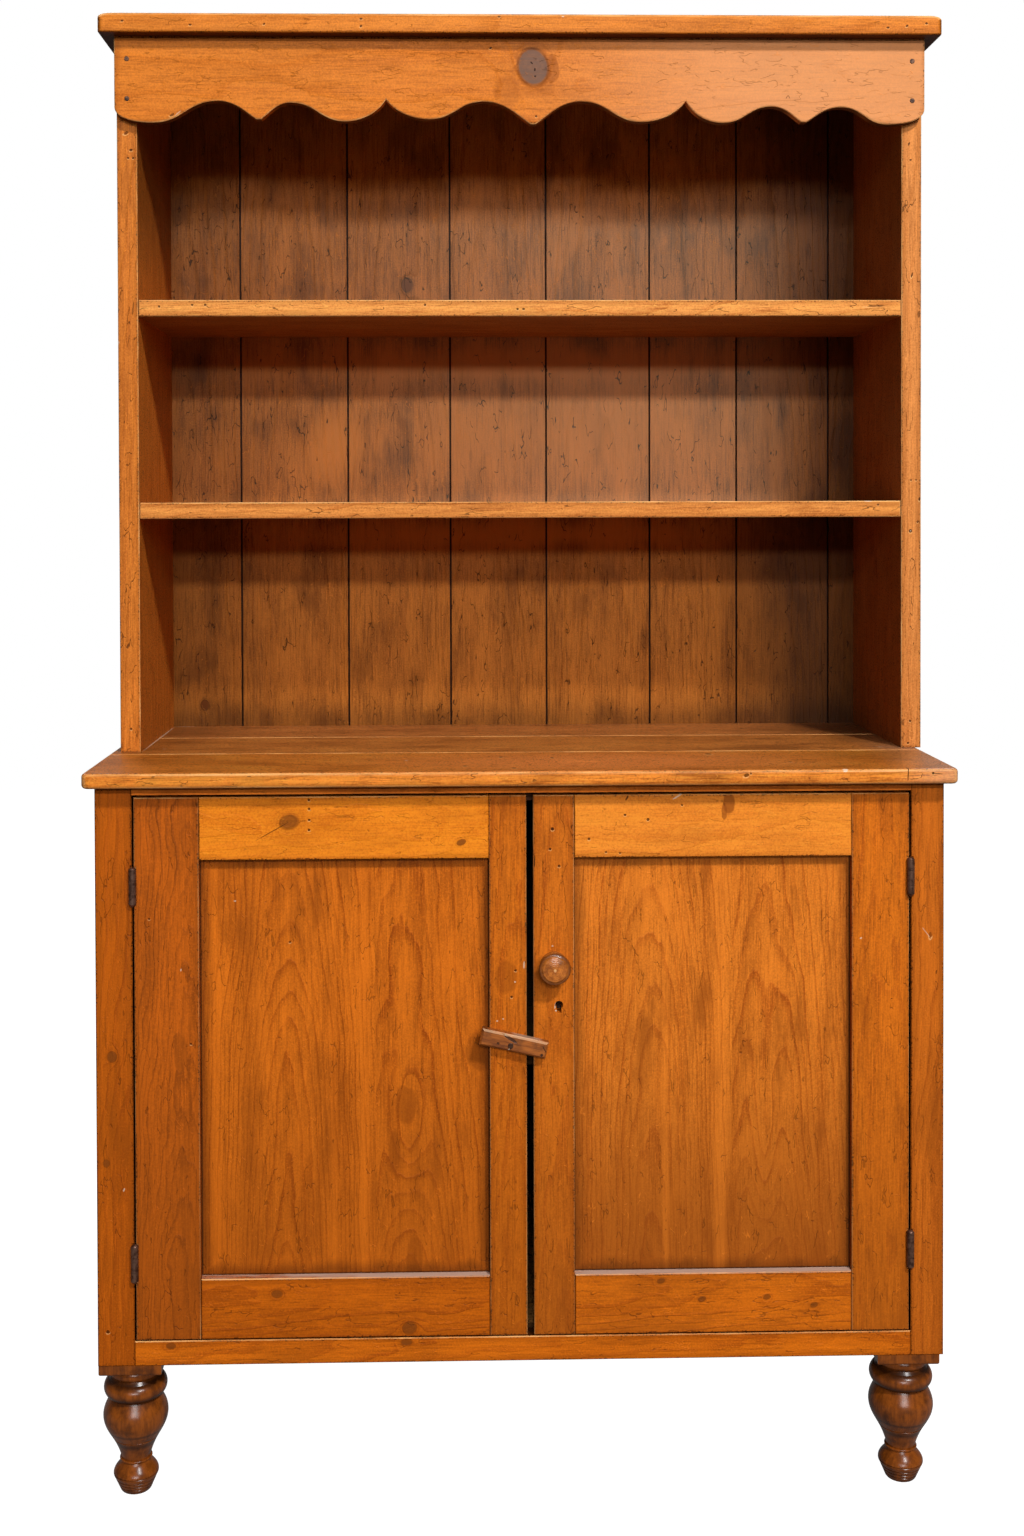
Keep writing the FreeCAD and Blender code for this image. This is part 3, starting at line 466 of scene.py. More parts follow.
class Board(Finish):
    """The finish of one pine board."""

    def __init__(self, node, grain, look):
        super().__init__(node + "_pine", look.pale)
        self.look = look
        self.seed = random.uniform(0, 90)
        self.low, self.high = ([side / MM for side in corner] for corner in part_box(node))
        x, y, z = (place - (low + high) / 2
                   for place, low, high in zip((self.x, self.y, self.z), self.low, self.high))
        p, q, v = {"x": (z, y, x), "z": (x, y, z), "y": (x, z, y)}[grain]
        if look.joint:
            joint_x, shift = look.joint
            other = self.sum("GREATER_THAN", self.x, joint_x)
            p = p + other * shift
            v = v + other * past_joint
        self.own_axes, self.trunk_axes = (x, y, z), (p, q, v)
        self.broad, self.fine, self.fibre, self.cloud = (
            self.waves(name) for name in ("broad", "fine", "fibre", "cloud"))
        self.grit = self.waves("grit", self.own_axes)
        if look.mottle > 0:
            self.smoke = self.waves("smoke", self.own_axes)
        self.lines = self.split(self.waves("lines", output=1))
        self.normal = self.split(self.add("TexCoord", output="Normal"))
        self.facing = self.normal[1] * -1.0
        self.on_top = self.rise(self.normal[2], 0.6, 0.9)
        self.on_front = self.rise(self.facing, 0.2, 0.6)
        self.near_front = self.rise(self.y - self.low[1], *front_skin)

    def stretched(self, axes, across, along, moved):
        """A place for a noise, with the board's seed added to one axis."""
        place = [axis * scale for axis, scale in zip(axes, (across, across, along))]
        place[moved] = place[moved] + self.seed
        return self.point(*place)

    def waves(self, name, axes=None, output=0):
        """One of the noises, along the trunk or along other axes."""
        across, along, moved, detail, roughness = noises[name]
        place = self.stretched(axes or self.trunk_axes, across, along, moved)
        return self.noise(place, detail, roughness, output)

    def inside(self, x0, x1, z0, z1):
        """How far inside a rectangle of the front a place lies, in millimetres."""
        return self.least(self.x - x0, x1 - self.x, self.z - z0, z1 - self.z)


print(len(noises), "noises, the finest", round(1 / noises["fibre"][0], 2), "mm across")


# %% [markdown]
# ## How pine shows its years
#
# A board is a slice through a trunk, so its figure is worked out in three dimensions: a heart
# line runs along the board at some distance from it, each year is a tube round that line, and
# every face cuts the same tubes. A board sawn near the bark shows nested arches where the
# heart line leans, and straight lines where it doesn't. Each year is pale early wood that
# darkens slowly into a thin late line, and the year's strength changes at random. Round a
# knot, or round one that lies just under the face, the years bulge.

# %% Growth rings
knot_bulge, knot_grip = 1.2, 0.3         # how far years swell round a knot, and how tightly
year_drift = 2.4                         # years between the farthest places of one ring
weakest_year = 0.3                       # the strongest year is 1
late_wood, late_curve = (0.4, 0.93), 2.2     # shares of a year over which late wood darkens
late_end = (0.94, 1.0)                   # where it breaks off
early_wood = (0.0, 0.04, 0.08, 0.26)     # where the palest wood starts, is full, fades and ends


def oval(f, first, second, shape):
    """0 in the middle of a knot, dent, hole or scratch and 1 at its edge."""
    middle_first, middle_second, half_long, half_wide, turn = shape[:5]
    turn = math.radians(turn)
    du, dv = first - middle_first, second - middle_second
    return f.length((du * math.cos(turn) + dv * math.sin(turn)) / half_long,
                    (dv * math.cos(turn) - du * math.sin(turn)) / half_wide)


def growth_rings(board, knot_ovals):
    """How strong the late and the early wood are, 0 to 1."""
    look = board.look
    p, q, v = board.trunk_axes
    wave_p, wave_q, wave_years = board.split(board.waves("wave", output=1))
    ripple_p, ripple_q, ripple_strength = board.split(board.waves("ripple", output=1))
    radius = board.length(
        p - look.heart[0] - v * look.lean[0] + (wave_p - 0.5) * look.wobble
        + (ripple_p - 0.5) * look.ripple,
        q - look.heart[1] - v * look.lean[1] + (wave_q - 0.5) * look.wobble
        + (ripple_q - 0.5) * look.ripple)
    for away, knot in zip(knot_ovals, look.knots):
        radius = radius + board.sum("EXPONENT", away * away * -knot_grip) * (knot[2] * knot_bulge)
    for swell_x, swell_z, wide, tall, bulge in look.swells:
        du, dv = (board.x - swell_x) / wide, (board.z - swell_z) / tall
        radius = radius + board.sum("EXPONENT", (du * du + dv * dv) * -1.0) * bulge
    years = radius / look.ring + (wave_years - 0.5) * year_drift
    within = board.sum("FRACT", years)
    luck = board.add("TexWhiteNoise", {"noise_dimensions": "1D"}, {"W": board.sum("FLOOR", years)})
    strength = (luck * (1 - weakest_year) + weakest_year) * (ripple_strength + 0.5)
    late = board.rise(within, *late_wood) ** late_curve * board.fade(within, *late_end)
    early = board.hump(within, *early_wood)
    return late * strength, early * strength


print("a year is usually", usual_look["ring"], "mm wide")


# %% [markdown]
# ## Grain, clouds and stains
#
# Over the years lie the layers of use. Each row of the first table is one coat: the noise that
# it follows, where on that noise it starts and where it is full, the setting that rules its
# strength, its share of that strength, and its tone. What has a place of its own, such as a
# stain, a faded end, painted shade or a painted sheen, comes after them, with an edge that
# clouds push to and fro.

# %% Grain and clouds, which follow noises
coats = [
    ("broad", 0.42, 0.7, "streaks", 1.0, "late"),
    ("broad", 0.56, 0.3, "streaks", 0.6, "pale"),
    ("fine", 0.51, 0.66, "fine_grain", 0.55, "patina"),
    ("fine", 0.47, 0.32, "fine_grain", 0.55, "bright"),
    ("fibre", 0.5, 0.75, "fine_grain", 0.25, "patina"),
    ("grit", 0.5, 0.7, "dirt_in_grain", 0.22, "patina"),
    ("grit", 0.5, 0.3, "dirt_in_grain", 0.3, "bright"),
    ("cloud", 0.48, 0.72, "clouds", 1.0, "patina"),
    ("cloud", 0.5, 0.32, "clouds", 0.6, "bright"),
    ("smoke", 0.48, 0.7, "mottle", 1.0, "patina"),
    ("smoke", 0.5, 0.3, "mottle", 0.8, "bright")]


def paint_grain(board):
    """Lay every coat that has any strength in the board's look."""
    for noise, start, full, setting, share, colour in coats:
        strength = getattr(board.look, setting) * share
        if strength > 0:
            mask = board.rise(getattr(board, noise), start, full)
            board.paint(mask * strength, getattr(board.look, colour))


print(len(coats), "coats of grain and cloud")


# %% Stains, fading, painted shade and painted sheen, which have a place
fall_wander, band_wander = 120.0, 14.0   # millimetres between the farthest places of an edge


def paint_ovals(board, second, ovals, face, wander, cores, edge, tones):
    """Soft ovals on one face, in the first tone, or in the second where the amount is below 0.

    wander is how far clouds and fine grain push their edges. cores are where each kind starts
    to fade, and edge is where it ends.
    """
    for oval_x, oval_second, wide, tall, amount in ovals:
        away = board.length((board.x - oval_x) / wide, (second - oval_second) / tall)
        away = away + (board.cloud - 0.5) * wander[0] + (board.fine - 0.5) * wander[1]
        kind = 0 if amount > 0 else 1
        board.paint(board.fade(away, cores[kind], edge, abs(amount)) * face, tones[kind])


def paint_stains(board):
    look = board.look
    if look.fall:
        # painted shade of the lamps' falloff, with darker wood, downwards
        high, low, amount = look.fall
        height = board.z + (board.cloud - 0.5) * fall_wander
        board.paint(board.rise(height, high, low) * amount, look.patina)
    if look.drift:
        drift_tone, start, end, amount = look.drift
        board.paint(board.rise(board.x, start, end) * amount, drift_tone)
    for band_x, half, amount in look.bands:
        away = board.sum("ABSOLUTE", board.x - band_x + (board.broad - 0.5) * band_wander)
        board.paint(board.fade(away, half * 0.3, half, abs(amount)),
                    look.patina if amount > 0 else look.bright)
    # stains, painted shadows and painted light on the front
    paint_ovals(board, board.z, look.patches, board.on_front, wander=(1.2, 0.3),
                cores=(0.8, 0.1), edge=1.05, tones=(look.patina, look.bright))
    # painted shade on the top, and painted sheen where the amount is below 0
    paint_ovals(board, board.y, look.pools, board.on_top, wander=(0.8, 0.4),
                cores=(0.2, 0.2), edge=1.1, tones=(dirt_and_shade, painted_sheen))


print("clouds push a darkening by up to", fall_wander / 2, "mm")


# %% [markdown]
# ## Knots, flecks and cracks
#
# A knot is the foot of a branch. The years close round it in rings, and the wood outside it
# darkens in a halo. A big dead knot has lost its resin and is grey, a small one is brown.
# Flecks are resin ducts, cut along their length, and a crack is a thin line that opens with
# the grain and fills with dirt.

# %% Knots, flecks and strokes
dead_knot_size = 15              # half a width in millimetres, past which a knot is grey
dead_heart, live_heart = tone(112, 84, 70), tone(120, 62, 18)
heart_edge, halo = (0.9, 1.03), (1.0, 1.85)      # from a knot's middle, where 1 is its edge
bark = (0.9, 1.0, 1.03, 1.16)            # the dark line round its heart
halo_waves = 17.0                        # how finely the halo is ringed
fleck_rim, fleck_luck = (0.03, 0.09), (0.76, 0.82)       # its edge, and which cells have one
crack_rim, crack_luck = (0.003, 0.013), (0.55, 0.6)      # the same, where a noise is level
bruise_rim, bruise_luck = (0.002, 0.011), (0.46, 0.41)


def paint_knots(board, knot_ovals):
    for away, knot in zip(knot_ovals, board.look.knots):
        darkness = knot[5]
        wheel = board.sum("SINE", (away + board.lines[0] * 0.9) * halo_waves) * 0.3 + 0.5
        board.paint(board.fade(away, *halo, darkness * 0.8) * wheel, board.look.patina)
        heart = dead_heart if knot[2] > dead_knot_size else live_heart
        board.paint(board.fade(away, *heart_edge, darkness) * (board.fine * 0.5 + 0.75), heart)
        board.paint(board.hump(away, *bark) * (darkness * 0.5), dirt_and_shade)


def paint_flecks(board):
    """Flecks, cracks and bruises. Gives back their masks, which the bump needs too."""
    look, lines = board.look, board.lines
    place = board.stretched(board.trunk_axes, *fleck_waves)
    cells = board.add("TexVoronoi", {"feature": "F1"}, {"Vector": place, "Scale": 1.0})
    luck = board.split(cells.beside("Color"))[0]
    fleck = board.fade(cells, *fleck_rim) * board.rise(luck, *fleck_luck)
    crack = board.fade(board.sum("ABSOLUTE", lines[0] - 0.5), *crack_rim)
    crack = crack * board.rise(lines[1], *crack_luck)
    bruise = board.fade(board.sum("ABSOLUTE", lines[2] - 0.5), *bruise_rim)
    bruise = bruise * board.rise(lines[1], *bruise_luck)
    board.paint(fleck * look.flecks, dirt_and_shade)
    board.paint(crack * look.strokes, dirt_and_shade)
    board.paint(bruise * (look.strokes * 0.8), look.bright)
    return fleck, crack, bruise


print("a knot is grey past", 2 * dead_knot_size, "mm across")


# %% [markdown]
# ## Rims, corners and the gloom of the bays
#
# Dirt gathers round the rim of a front, where a cloth doesn't reach, and dirt and painted shade
# sit in the corner between a panel and its frame. The back of the bays has never been waxed:
# above the middle shelf it has a painted grey sheen towards the right, painted shadow darkens
# it near both sides, and painted shade darkens it at the top and just above the counter.

# %% Rims and corners
rim_wander, rim_width = 26.0, 9.0        # millimetres
corner_wander, corner_width = 34.0, 20.0
corner_line = (0.6, 2.6)                 # a black line, right where panel and frame meet
nick_reach, nick_luck = (1.2, 3.4), (0.84, 0.9)      # from the rim, and how rough wood is there


def paint_rims(board):
    look = board.look
    if look.edges > 0:
        rim = board.inside(board.low[0], board.high[0], board.low[2], board.high[2])
        ragged_rim = rim + (board.cloud - 0.5) * rim_wander
        board.paint(board.fade(ragged_rim, 0.0, rim_width, look.edges), look.patina)
        nick = board.rise(board.grit + board.fine * 0.5, *nick_luck)
        board.paint(nick * board.fade(rim, *nick_reach, 0.8), dirt_and_shade)
    if look.corners:
        # grime and painted shade near a frame's inner edge
        edge = board.inside(*look.corners)
        ragged_edge = edge + (board.cloud - 0.5) * corner_wander
        board.paint(board.fade(ragged_edge, 0.0, corner_width, 0.55), dirt_and_shade)
        board.paint(board.fade(edge, *corner_line, 0.8), dirt_and_shade)


print("grime reaches", corner_width, "mm from a frame's inner edge")


# %% Painted sheen, shadow and shade in the bays
middle_bay_z, top_bay_z = 1300, 1590     # heights of the shelves
grey_sheen_top, grey_sheen_bottom = (1810, 1730), (1286, 1320)   # heights from its end to its full amount
grey_sheen_sides = (-480, 240)                 # x over which it goes from its left to its right amount
grey_sheen_end = (500, 380)                    # x over which it ends in the right corner
right_shade, left_shade = (235, 480), (-300, -540)   # x from no shade to the whole
bay_shift, top_bay_shift = 55.0, 25.0    # the right shade reaches less far above a shelf
shade_wander, shade_band_wander = 60.0, 30.0   # millimetres between the farthest places of an edge
right_depth, left_depth = 0.8, 0.45      # how dark each shade is at most
left_ease = 0.12                         # how much less that is above the lowest bay
# the tone of a painted grey sheen, added over the wood
painted_grey_sheen = tone(50, 100, 98)


def paint_bays(board):
    look, on_front = board.look, board.on_front
    if look.haze:
        # a painted grey sheen, added over the wood
        grey = board.rise(board.x, *grey_sheen_sides, *look.haze) * board.rise(board.z, *grey_sheen_bottom)
        grey = grey * board.rise(board.z, *grey_sheen_top) * board.rise(board.x, *grey_sheen_end)
        board.paint(grey * on_front, painted_grey_sheen, "ADD")
        # painted shadow of the sides, deeper near the right
        middle_bay = board.sum("GREATER_THAN", board.z, middle_bay_z)
        top_bay = board.sum("GREATER_THAN", board.z, top_bay_z)
        wander = (board.broad - 0.5) * shade_wander
        shade_x = board.x + wander - middle_bay * bay_shift + top_bay * top_bay_shift
        board.paint(board.rise(shade_x, *right_shade, 0.0, right_depth) * on_front, dirt_and_shade)
        dark = board.rise(board.x + wander, *left_shade) * (middle_bay * -left_ease + left_depth)
        board.paint(dark * on_front, dirt_and_shade)
    # painted shade at the top of the top bay and just above the counter
    for band_low, band_high, amount, ceiling in look.soot:
        height = board.z + (board.cloud - 0.5) * shade_band_wander
        dark = board.rise(height, band_low, band_high, 0.0, amount)
        board.paint(dark * board.sum("LESS_THAN", board.z, ceiling) * on_front, dirt_and_shade)


print("the bays start at", middle_bay_z, "and", top_bay_z, "mm")


# %% [markdown]
# ## Wear and marks
#
# Arrises lose their wax first, and their pale also carries a painted highlight. One that looks
# up goes pale under hands and plates, and one that looks down or sideways goes pale or dark, as
# the board's place has it. A face that looks into a gap or under a shelf is never waxed; it is
# darkened with painted shade, and in the back boards' joints with dirt. Nail holes, dents and
# scratches are ovals with a place of their own: a hole is dark with a pale painted highlight on
# the lip below it where it is wide enough to have one, and a scratch in the wax is chalky.

# %% Worn arrises, dust with a painted sheen, and painted shade on hidden faces
# dust with a painted sheen on ledges
ledge_dust_and_sheen = tone(196, 164, 146)
gap_step = 1.6                   # millimetres over which a gap's dirt and painted shade grow to their full amount
arris_way = (0.35, 0.6, 0.86, 0.97)      # how squarely an arris faces the front: flat on is 1
arris_luck = (0.6, 0.85, 1.0, 0.3)       # where clouds and fibres leave it less worn
upward, gap_way = (0.25, 0.5), (0.72, 0.9)   # how squarely a face has to look that way
ways = {sign + axis: (number, float(sign + "1"))
        for number, axis in enumerate("xyz") for sign in "-+"}


def paint_wear(board):
    look = board.look
    # worn arrises: pale wear with a painted highlight, or dark below 0
    arris = board.hump(board.facing, *arris_way)
    arris = arris * board.rise(board.cloud + board.fine * 0.5, *arris_luck)
    looks_up = board.rise(board.normal[2], *upward)
    up_arris, side_arris = look.worn
    board.paint(arris * looks_up * up_arris, worn_edge_and_highlight)
    board.paint(arris * (1 - looks_up) * abs(side_arris), worn_edge_and_highlight if side_arris > 0 else dirt_and_shade)
    # dust with a painted sheen on faces that look up
    if look.dust > 0:
        board.paint(board.on_top * board.rise(board.cloud, 0.25, 0.5) * look.dust, ledge_dust_and_sheen)
    # faces in gaps and under shelves: painted shade, and dirt in the back boards' joints
    for way, amount, depth, *heights in look.hidden:
        axis, sign = ways[way]
        looks = board.rise(board.normal[axis] * sign, *gap_way, 0.0, amount)
        behind = board.rise(board.y - board.low[1], depth, depth + gap_step)
        if heights:
            behind = behind * board.rise(board.z, *heights)
        board.paint(looks * behind, dirt_and_shade)


print("a face may look", ", ".join(ways))


# %% Nail holes, dents and scratches
ragged = 0.9                     # how far fine grain pushes a mark's edge
lip_size = 1.2                   # half a width in millimetres, past which a hole has a lip
lip_ring = (1.0, 1.15, 1.3, 1.7)         # from the hole's middle, where 1 is its edge
hole_depth, lip_highlight_strength = 0.6, 0.6      # the depth is in millimetres


def nail(x, z, radius=1.7, darkness=0.8):
    """A round hole, as a mark."""
    return (x, z, radius, radius, 0, darkness)


def press(f, second, mark, rough, depth, face=1.0):
    """Press one mark into a finish and say how far each place is from it."""
    away = oval(f, f.x, second, mark) + (rough - 0.5) * ragged
    core = f.fade(away, 0.75, 1.1) * face
    darkness = mark[5]
    f.paint(core * abs(darkness), dirt_and_shade if darkness > 0 else chalk_and_sheen)
    if darkness > 0:
        f.height = f.height - core * depth
    return away


def paint_marks(board):
    groups = ((board.z, board.look.marks, board.near_front),
              (board.y, board.look.top_marks, board.on_top))
    for second, marks, face in groups:
        for mark in marks:
            half_wide, darkness = mark[3], mark[5]
            away = press(board, second, mark, board.fine, hole_depth * darkness, face)
            if darkness > 0 and half_wide > lip_size:
                # a painted highlight on the lip below a wide hole
                below = board.rise(second - mark[1], 0.0, -half_wide)
                lip_highlight = board.hump(away, *lip_ring) * below * face * lip_highlight_strength
                board.paint(lip_highlight, worn_edge_and_highlight)


print("a nail hole is usually", nail(0, 0)[2] * 2, "mm wide")


# %% [markdown]
# ## The honey pine finish
#
# One function lays all the coats in the order in which a real board got them: first the wood,
# then what it took up, then what was worn off or knocked in. A board's own values replace the
# usual ones by name.

# %% One finish for any pine board
bright_gain = 1.35               # how much lighter than pale wood the lightest places are
bump = {"fibre": 0.05, "rings": 0.3, "cloud": 0.5, "fleck": -0.3, "crack": -0.4, "bruise": 0.25}


def pine(node, grain="z", *tones, **own):
    """Give one board its finish.

    grain is the axis that the trunk ran along. tones are the pale, the late and the patina
    tone, which also paints shade, as many as differ from the usual ones, and own is what else
    differs.
    """
    own.update(zip(("pale", "late", "patina"), tones))
    look = SimpleNamespace(**{**usual_look, **own})
    for name in ("pale", "late", "patina"):
        lifted = tuple(c * k for c, k in zip(getattr(look, name), look.lift))
        setattr(look, name, lifted + (1.0,))
    look.bright = tuple(min(1.0, channel * bright_gain) for channel in look.pale[:3]) + (1.0,)
    board = Board(node, grain, look)
    knot_ovals = [oval(board, board.x, board.z, knot) for knot in look.knots]
    rings, early = growth_rings(board, knot_ovals)
    board.paint(rings * look.contrast, look.late)
    board.paint(early * (look.contrast * 0.3), look.bright)
    paint_grain(board)
    paint_stains(board)
    paint_knots(board, knot_ovals)
    fleck, crack, bruise = paint_flecks(board)
    paint_rims(board)
    paint_bays(board)
    paint_wear(board)
    board.height = (board.fibre * bump["fibre"] + rings * bump["rings"]
                    + board.cloud * bump["cloud"] + fleck * bump["fleck"]
                    + crack * bump["crack"] + bruise * bump["bruise"])
    paint_marks(board)
    roughness = rings * 0.1 + board.cloud * 0.16 + (look.gloss - 0.08)
    dress(node, board.done(roughness, look.specular))


def measure(*names):
    """Print each part's size in millimetres and how many nodes its finish took."""
    for name in names:
        size = [round((b - a) / MM) for a, b in zip(*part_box(name))]
        finish = nodes[name].data.materials[0]
        print(f"{name}: {size} mm, {len(finish.node_tree.nodes)} nodes in {finish.name}")


print("the deepest layer of the bump is", min(bump.values()), "mm, the highest", max(bump.values()))


# %% [markdown]
# ## The crown: cornice and scalloped frieze
#
# Both are long boards with the grain running across. The frieze is one plank with a big dead
# knot near its middle, and it has faded to a pinker tone towards the right. Their marks are
# the nail holes and dents that stand out, each in its own place.

# %% Finish the crown
shaded_underside = ("-z", 0.8, 1.0)         # painted shade on the lower face from 1 mm behind the front
pine("cornice_board", "x", tone(218, 124, 50), tone(182, 90, 26), heart=(20, 90),
     lift=(1.03, 1.09, 0.78), ring=6.0, contrast=0.45, clouds=0.35, hidden=[shaded_underside],
     strokes=0.3, fine_grain=0.75,
     marks=[(x, z, 2.0, 1.4, turn, 0.8) for x, z, turn in (
         (-548.3, 1972.0, 20), (-455.5, 1966.8, 0), (-354.4, 1968.1, 30),
         (-221.4, 1975.7, 0), (-221.5, 1965.9, 60), (-31.7, 1979.5, 0), (506.7, 1966.3, 0),
         (533.1, 1968.6, 40), (560.3, 1972.1, 0))] + [(56.4, 1979.9, 2.0, 1.0, 0, -0.8)])
pine("scalloped_frieze", "x", tone(214, 122, 50), tone(184, 92, 30), heart=(10, 120),
     lift=(1.01, 1.0, 0.6), lean=(0.01, 0.02), ring=7.0, contrast=0.4, clouds=0.25, hidden=[shaded_underside],
     worn=(0.6, 0.8), strokes=0.22, flecks=0.25, fine_grain=0.75,
     # the first patch, right of the knot, is a painted shadow of the dead knot
     patches=[(42, 1912, 10, 20, 0.5), (-20, 1884, 20, 24, 0.28), (36, 1886, 12, 14, 0.2)],
     knots=[(16.0, 1916.5, 20.5, 25, 12, 0.9)], drift=(tone(226, 158, 106), -40, 360, 0.62),
     marks=[nail(20.2, 1848, 1.6), (-484.4, 1848.5, 3.4, 1.6, 30, 0.7),
            (14.0, 1922, 2.2, 1.0, -50, 0.95), (18.5, 1912.5, 2.4, 1.2, 80, 0.95),
            (19.0, 1903.5, 1.4, 1.2, 0, 0.9), (-42.9, 1942.3, 2.2, 1.4, 30, 0.9),
            (-476.1, 1851.3, 6, 0.8, 40, -0.5),
            (370.5, 1875.5, 3.0, 0.6, 62, 0.6), (373.7, 1875.5, 3.0, 0.6, -62, 0.6)])
measure("cornice_board", "scalloped_frieze")


# %% [markdown]
# ## Sides and shelves of the upper case
#
# The insides of the case get little light and no wax, so they are toned down with painted
# shade, and so are the shelves' lower faces. The front edges are worn pale where hands and
# plates pass, and the pale carries a painted highlight too.

# %% Finish the upper sides
pine("left_upper_side", "z", tone(212, 120, 46), tone(172, 84, 26), heart=(90, 30),
     lift=(1.05, 1.09, 0.95), ring=5.5, contrast=0.5, clouds=0.4, flecks=0.8, strokes=0.7,
     hidden=[("+x", 0.5, 1.5, 1590, 1760)], worn=(0.7, 0.7),
     marks=[(-551, 1827.1, 3.4, 2.2, 30, 0.7), (-544.2, 1803.5, 2.4, 1.8, 0, 0.8),
            nail(-548.4, 1792.4, 1.5), nail(-541.5, 1792.4, 1.5),
            (-542.8, 1583, 10, 0.9, 84, 0.6), (-563.7, 1578.3, 4, 0.7, 70, 0.6),
            (-563.3, 1535.1, 2.4, 1.0, 80, -0.7), (-541.0, 1540.6, 2.6, 1.2, 60, 0.6),
            nail(-549.3, 995.2, 1.8)])
pine("right_upper_side", "z", tone(212, 120, 46), tone(172, 84, 26), heart=(90, 30),
     lift=(1.08, 1.33, 2.1), ring=5.5, contrast=0.5, clouds=0.4, flecks=0.8, strokes=0.7,
     hidden=[("-x", 0.28, 1.5)], worn=(0.7, 0.7),
     marks=[(546.4, 1814.1, 2.6, 1.2, 70, 0.8), (548.6, 1791.7, 1.8, 1.2, 0, 0.8),
            (550.8, 1630.1, 4.0, 1.3, 75, 0.8), (561.8, 1314.4, 3.0, 1.4, 80, 0.8),
            nail(559.0, 1281.9, 1.6, 0.7),
            nail(549.7, 1341.2, 1.5, 0.7), nail(556.8, 1341.2, 1.5, 0.6),
            nail(549.1, 1269.2, 2.4, 0.9), nail(549.3, 1269.6, 0.8, -0.8),
            nail(545.9, 969.0), nail(548.7, 1000.2)])
measure("left_upper_side", "right_upper_side")


# %% Finish the shelves
pine("middle_shelf", "x", tone(224, 142, 64), tone(192, 104, 38), heart=(60, 40),
     flecks=0.8, strokes=0.7, lift=(1.08, 1.09, 1.17),
     hidden=[("-z", 0.5, 2.5)], worn=(0.9, 0.6),
     marks=[nail(502.9, 1306.5, 1.6), (488.7, 1311.6, 6.0, 0.8, 0, -0.8)])
pine("upper_shelf", "x", tone(236, 152, 70), tone(204, 114, 44), heart=(60, 60),
     flecks=0.8, strokes=0.7, lift=(1.08, 1.11, 1.22),
     hidden=[("-z", 0.42, 2.5)], worn=(0.9, 0.6),
     marks=[nail(x, z) for x, z in (
         (-506.6, 1585.9), (-460.7, 1588), (-442.6, 1588), (-135.5, 1588), (-5.7, 1582.3),
         (2.6, 1582.3))] + [(500, 1586.5, 13, 1.3, 4, 0.6)])
measure("middle_shelf", "upper_shelf")


# %% [markdown]
# ## The back boards
#
# Eight boards close the back of the bays. They are darker than the rest and clouded by smoke,
# with dirt in the joints between them. Painted light pales the middle bay, with a band near its
# top, and a band near the top of the bay below it. Five knots show, each on its own board.

# %% Finish the back boards
# painted shade: at the top of the top bay, and just above the counter
bay_shade_bands = [(1800, 1900, 0.25, 1960), (1020, 968, 0.55, 1960)]
# painted light: pale places in the middle bay, and bands near the tops of the two lower bays
painted_light_bands = [(110, 1425, 420, 130, -0.7), (-270, 1400, 90, 90, -0.9),
             (0, 1530, 560, 45, -0.9), (0, 1262, 560, 32, -0.9)]
board_joints = [("-x", 0.97, 0.4), ("+x", 0.97, 0.4), ("-y", 0.97, 2.0)]
back_pale, back_late, back_patina = tone(180, 110, 52), tone(126, 66, 22), tone(86, 44, 14)
back_knots = {}
for index, knot_x, knot_z, size in ((3, -168.0, 1654.4, 8), (5, -38.0, 996.9, 7),
                                    (6, 146.3, 1638.8, 8), (7, 145.2, 995.9, 7),
                                    (1, -487.4, 996.2, 6)):
    back_knots[index] = [(knot_x, knot_z, size, size * 1.3, 0, 0.95)]
for index in range(1, 9):
    pine(f"back_board_{index}", "z", back_pale, back_late, back_patina,
         heart=(random.uniform(-60, 60), 90), lean=(random.uniform(-0.02, 0.02), 0.03),
         ring=7.0, contrast=0.35, clouds=0.25, streaks=0.3, gloss=0.42, worn=(0.3, -0.8),
         strokes=0.8, flecks=0.7, mottle=0.5, lift=(1.12, 1.05, 0.62), haze=(0.12, 0.62),
         hidden=board_joints, soot=bay_shade_bands, patches=painted_light_bands,
         knots=back_knots.get(index, ()), edges=0.0)
measure("back_board_1", "back_board_8")


# %% [markdown]
# ## The counter
#
# Three boards make the top. Wax sits pale in the corners and along the seams, painted shadow of
# the sides darkens the corners beside them, a painted sheen lightens the middle of the front
# board and, chalky grey, the right end, and the front edge has taken a century of knocks.

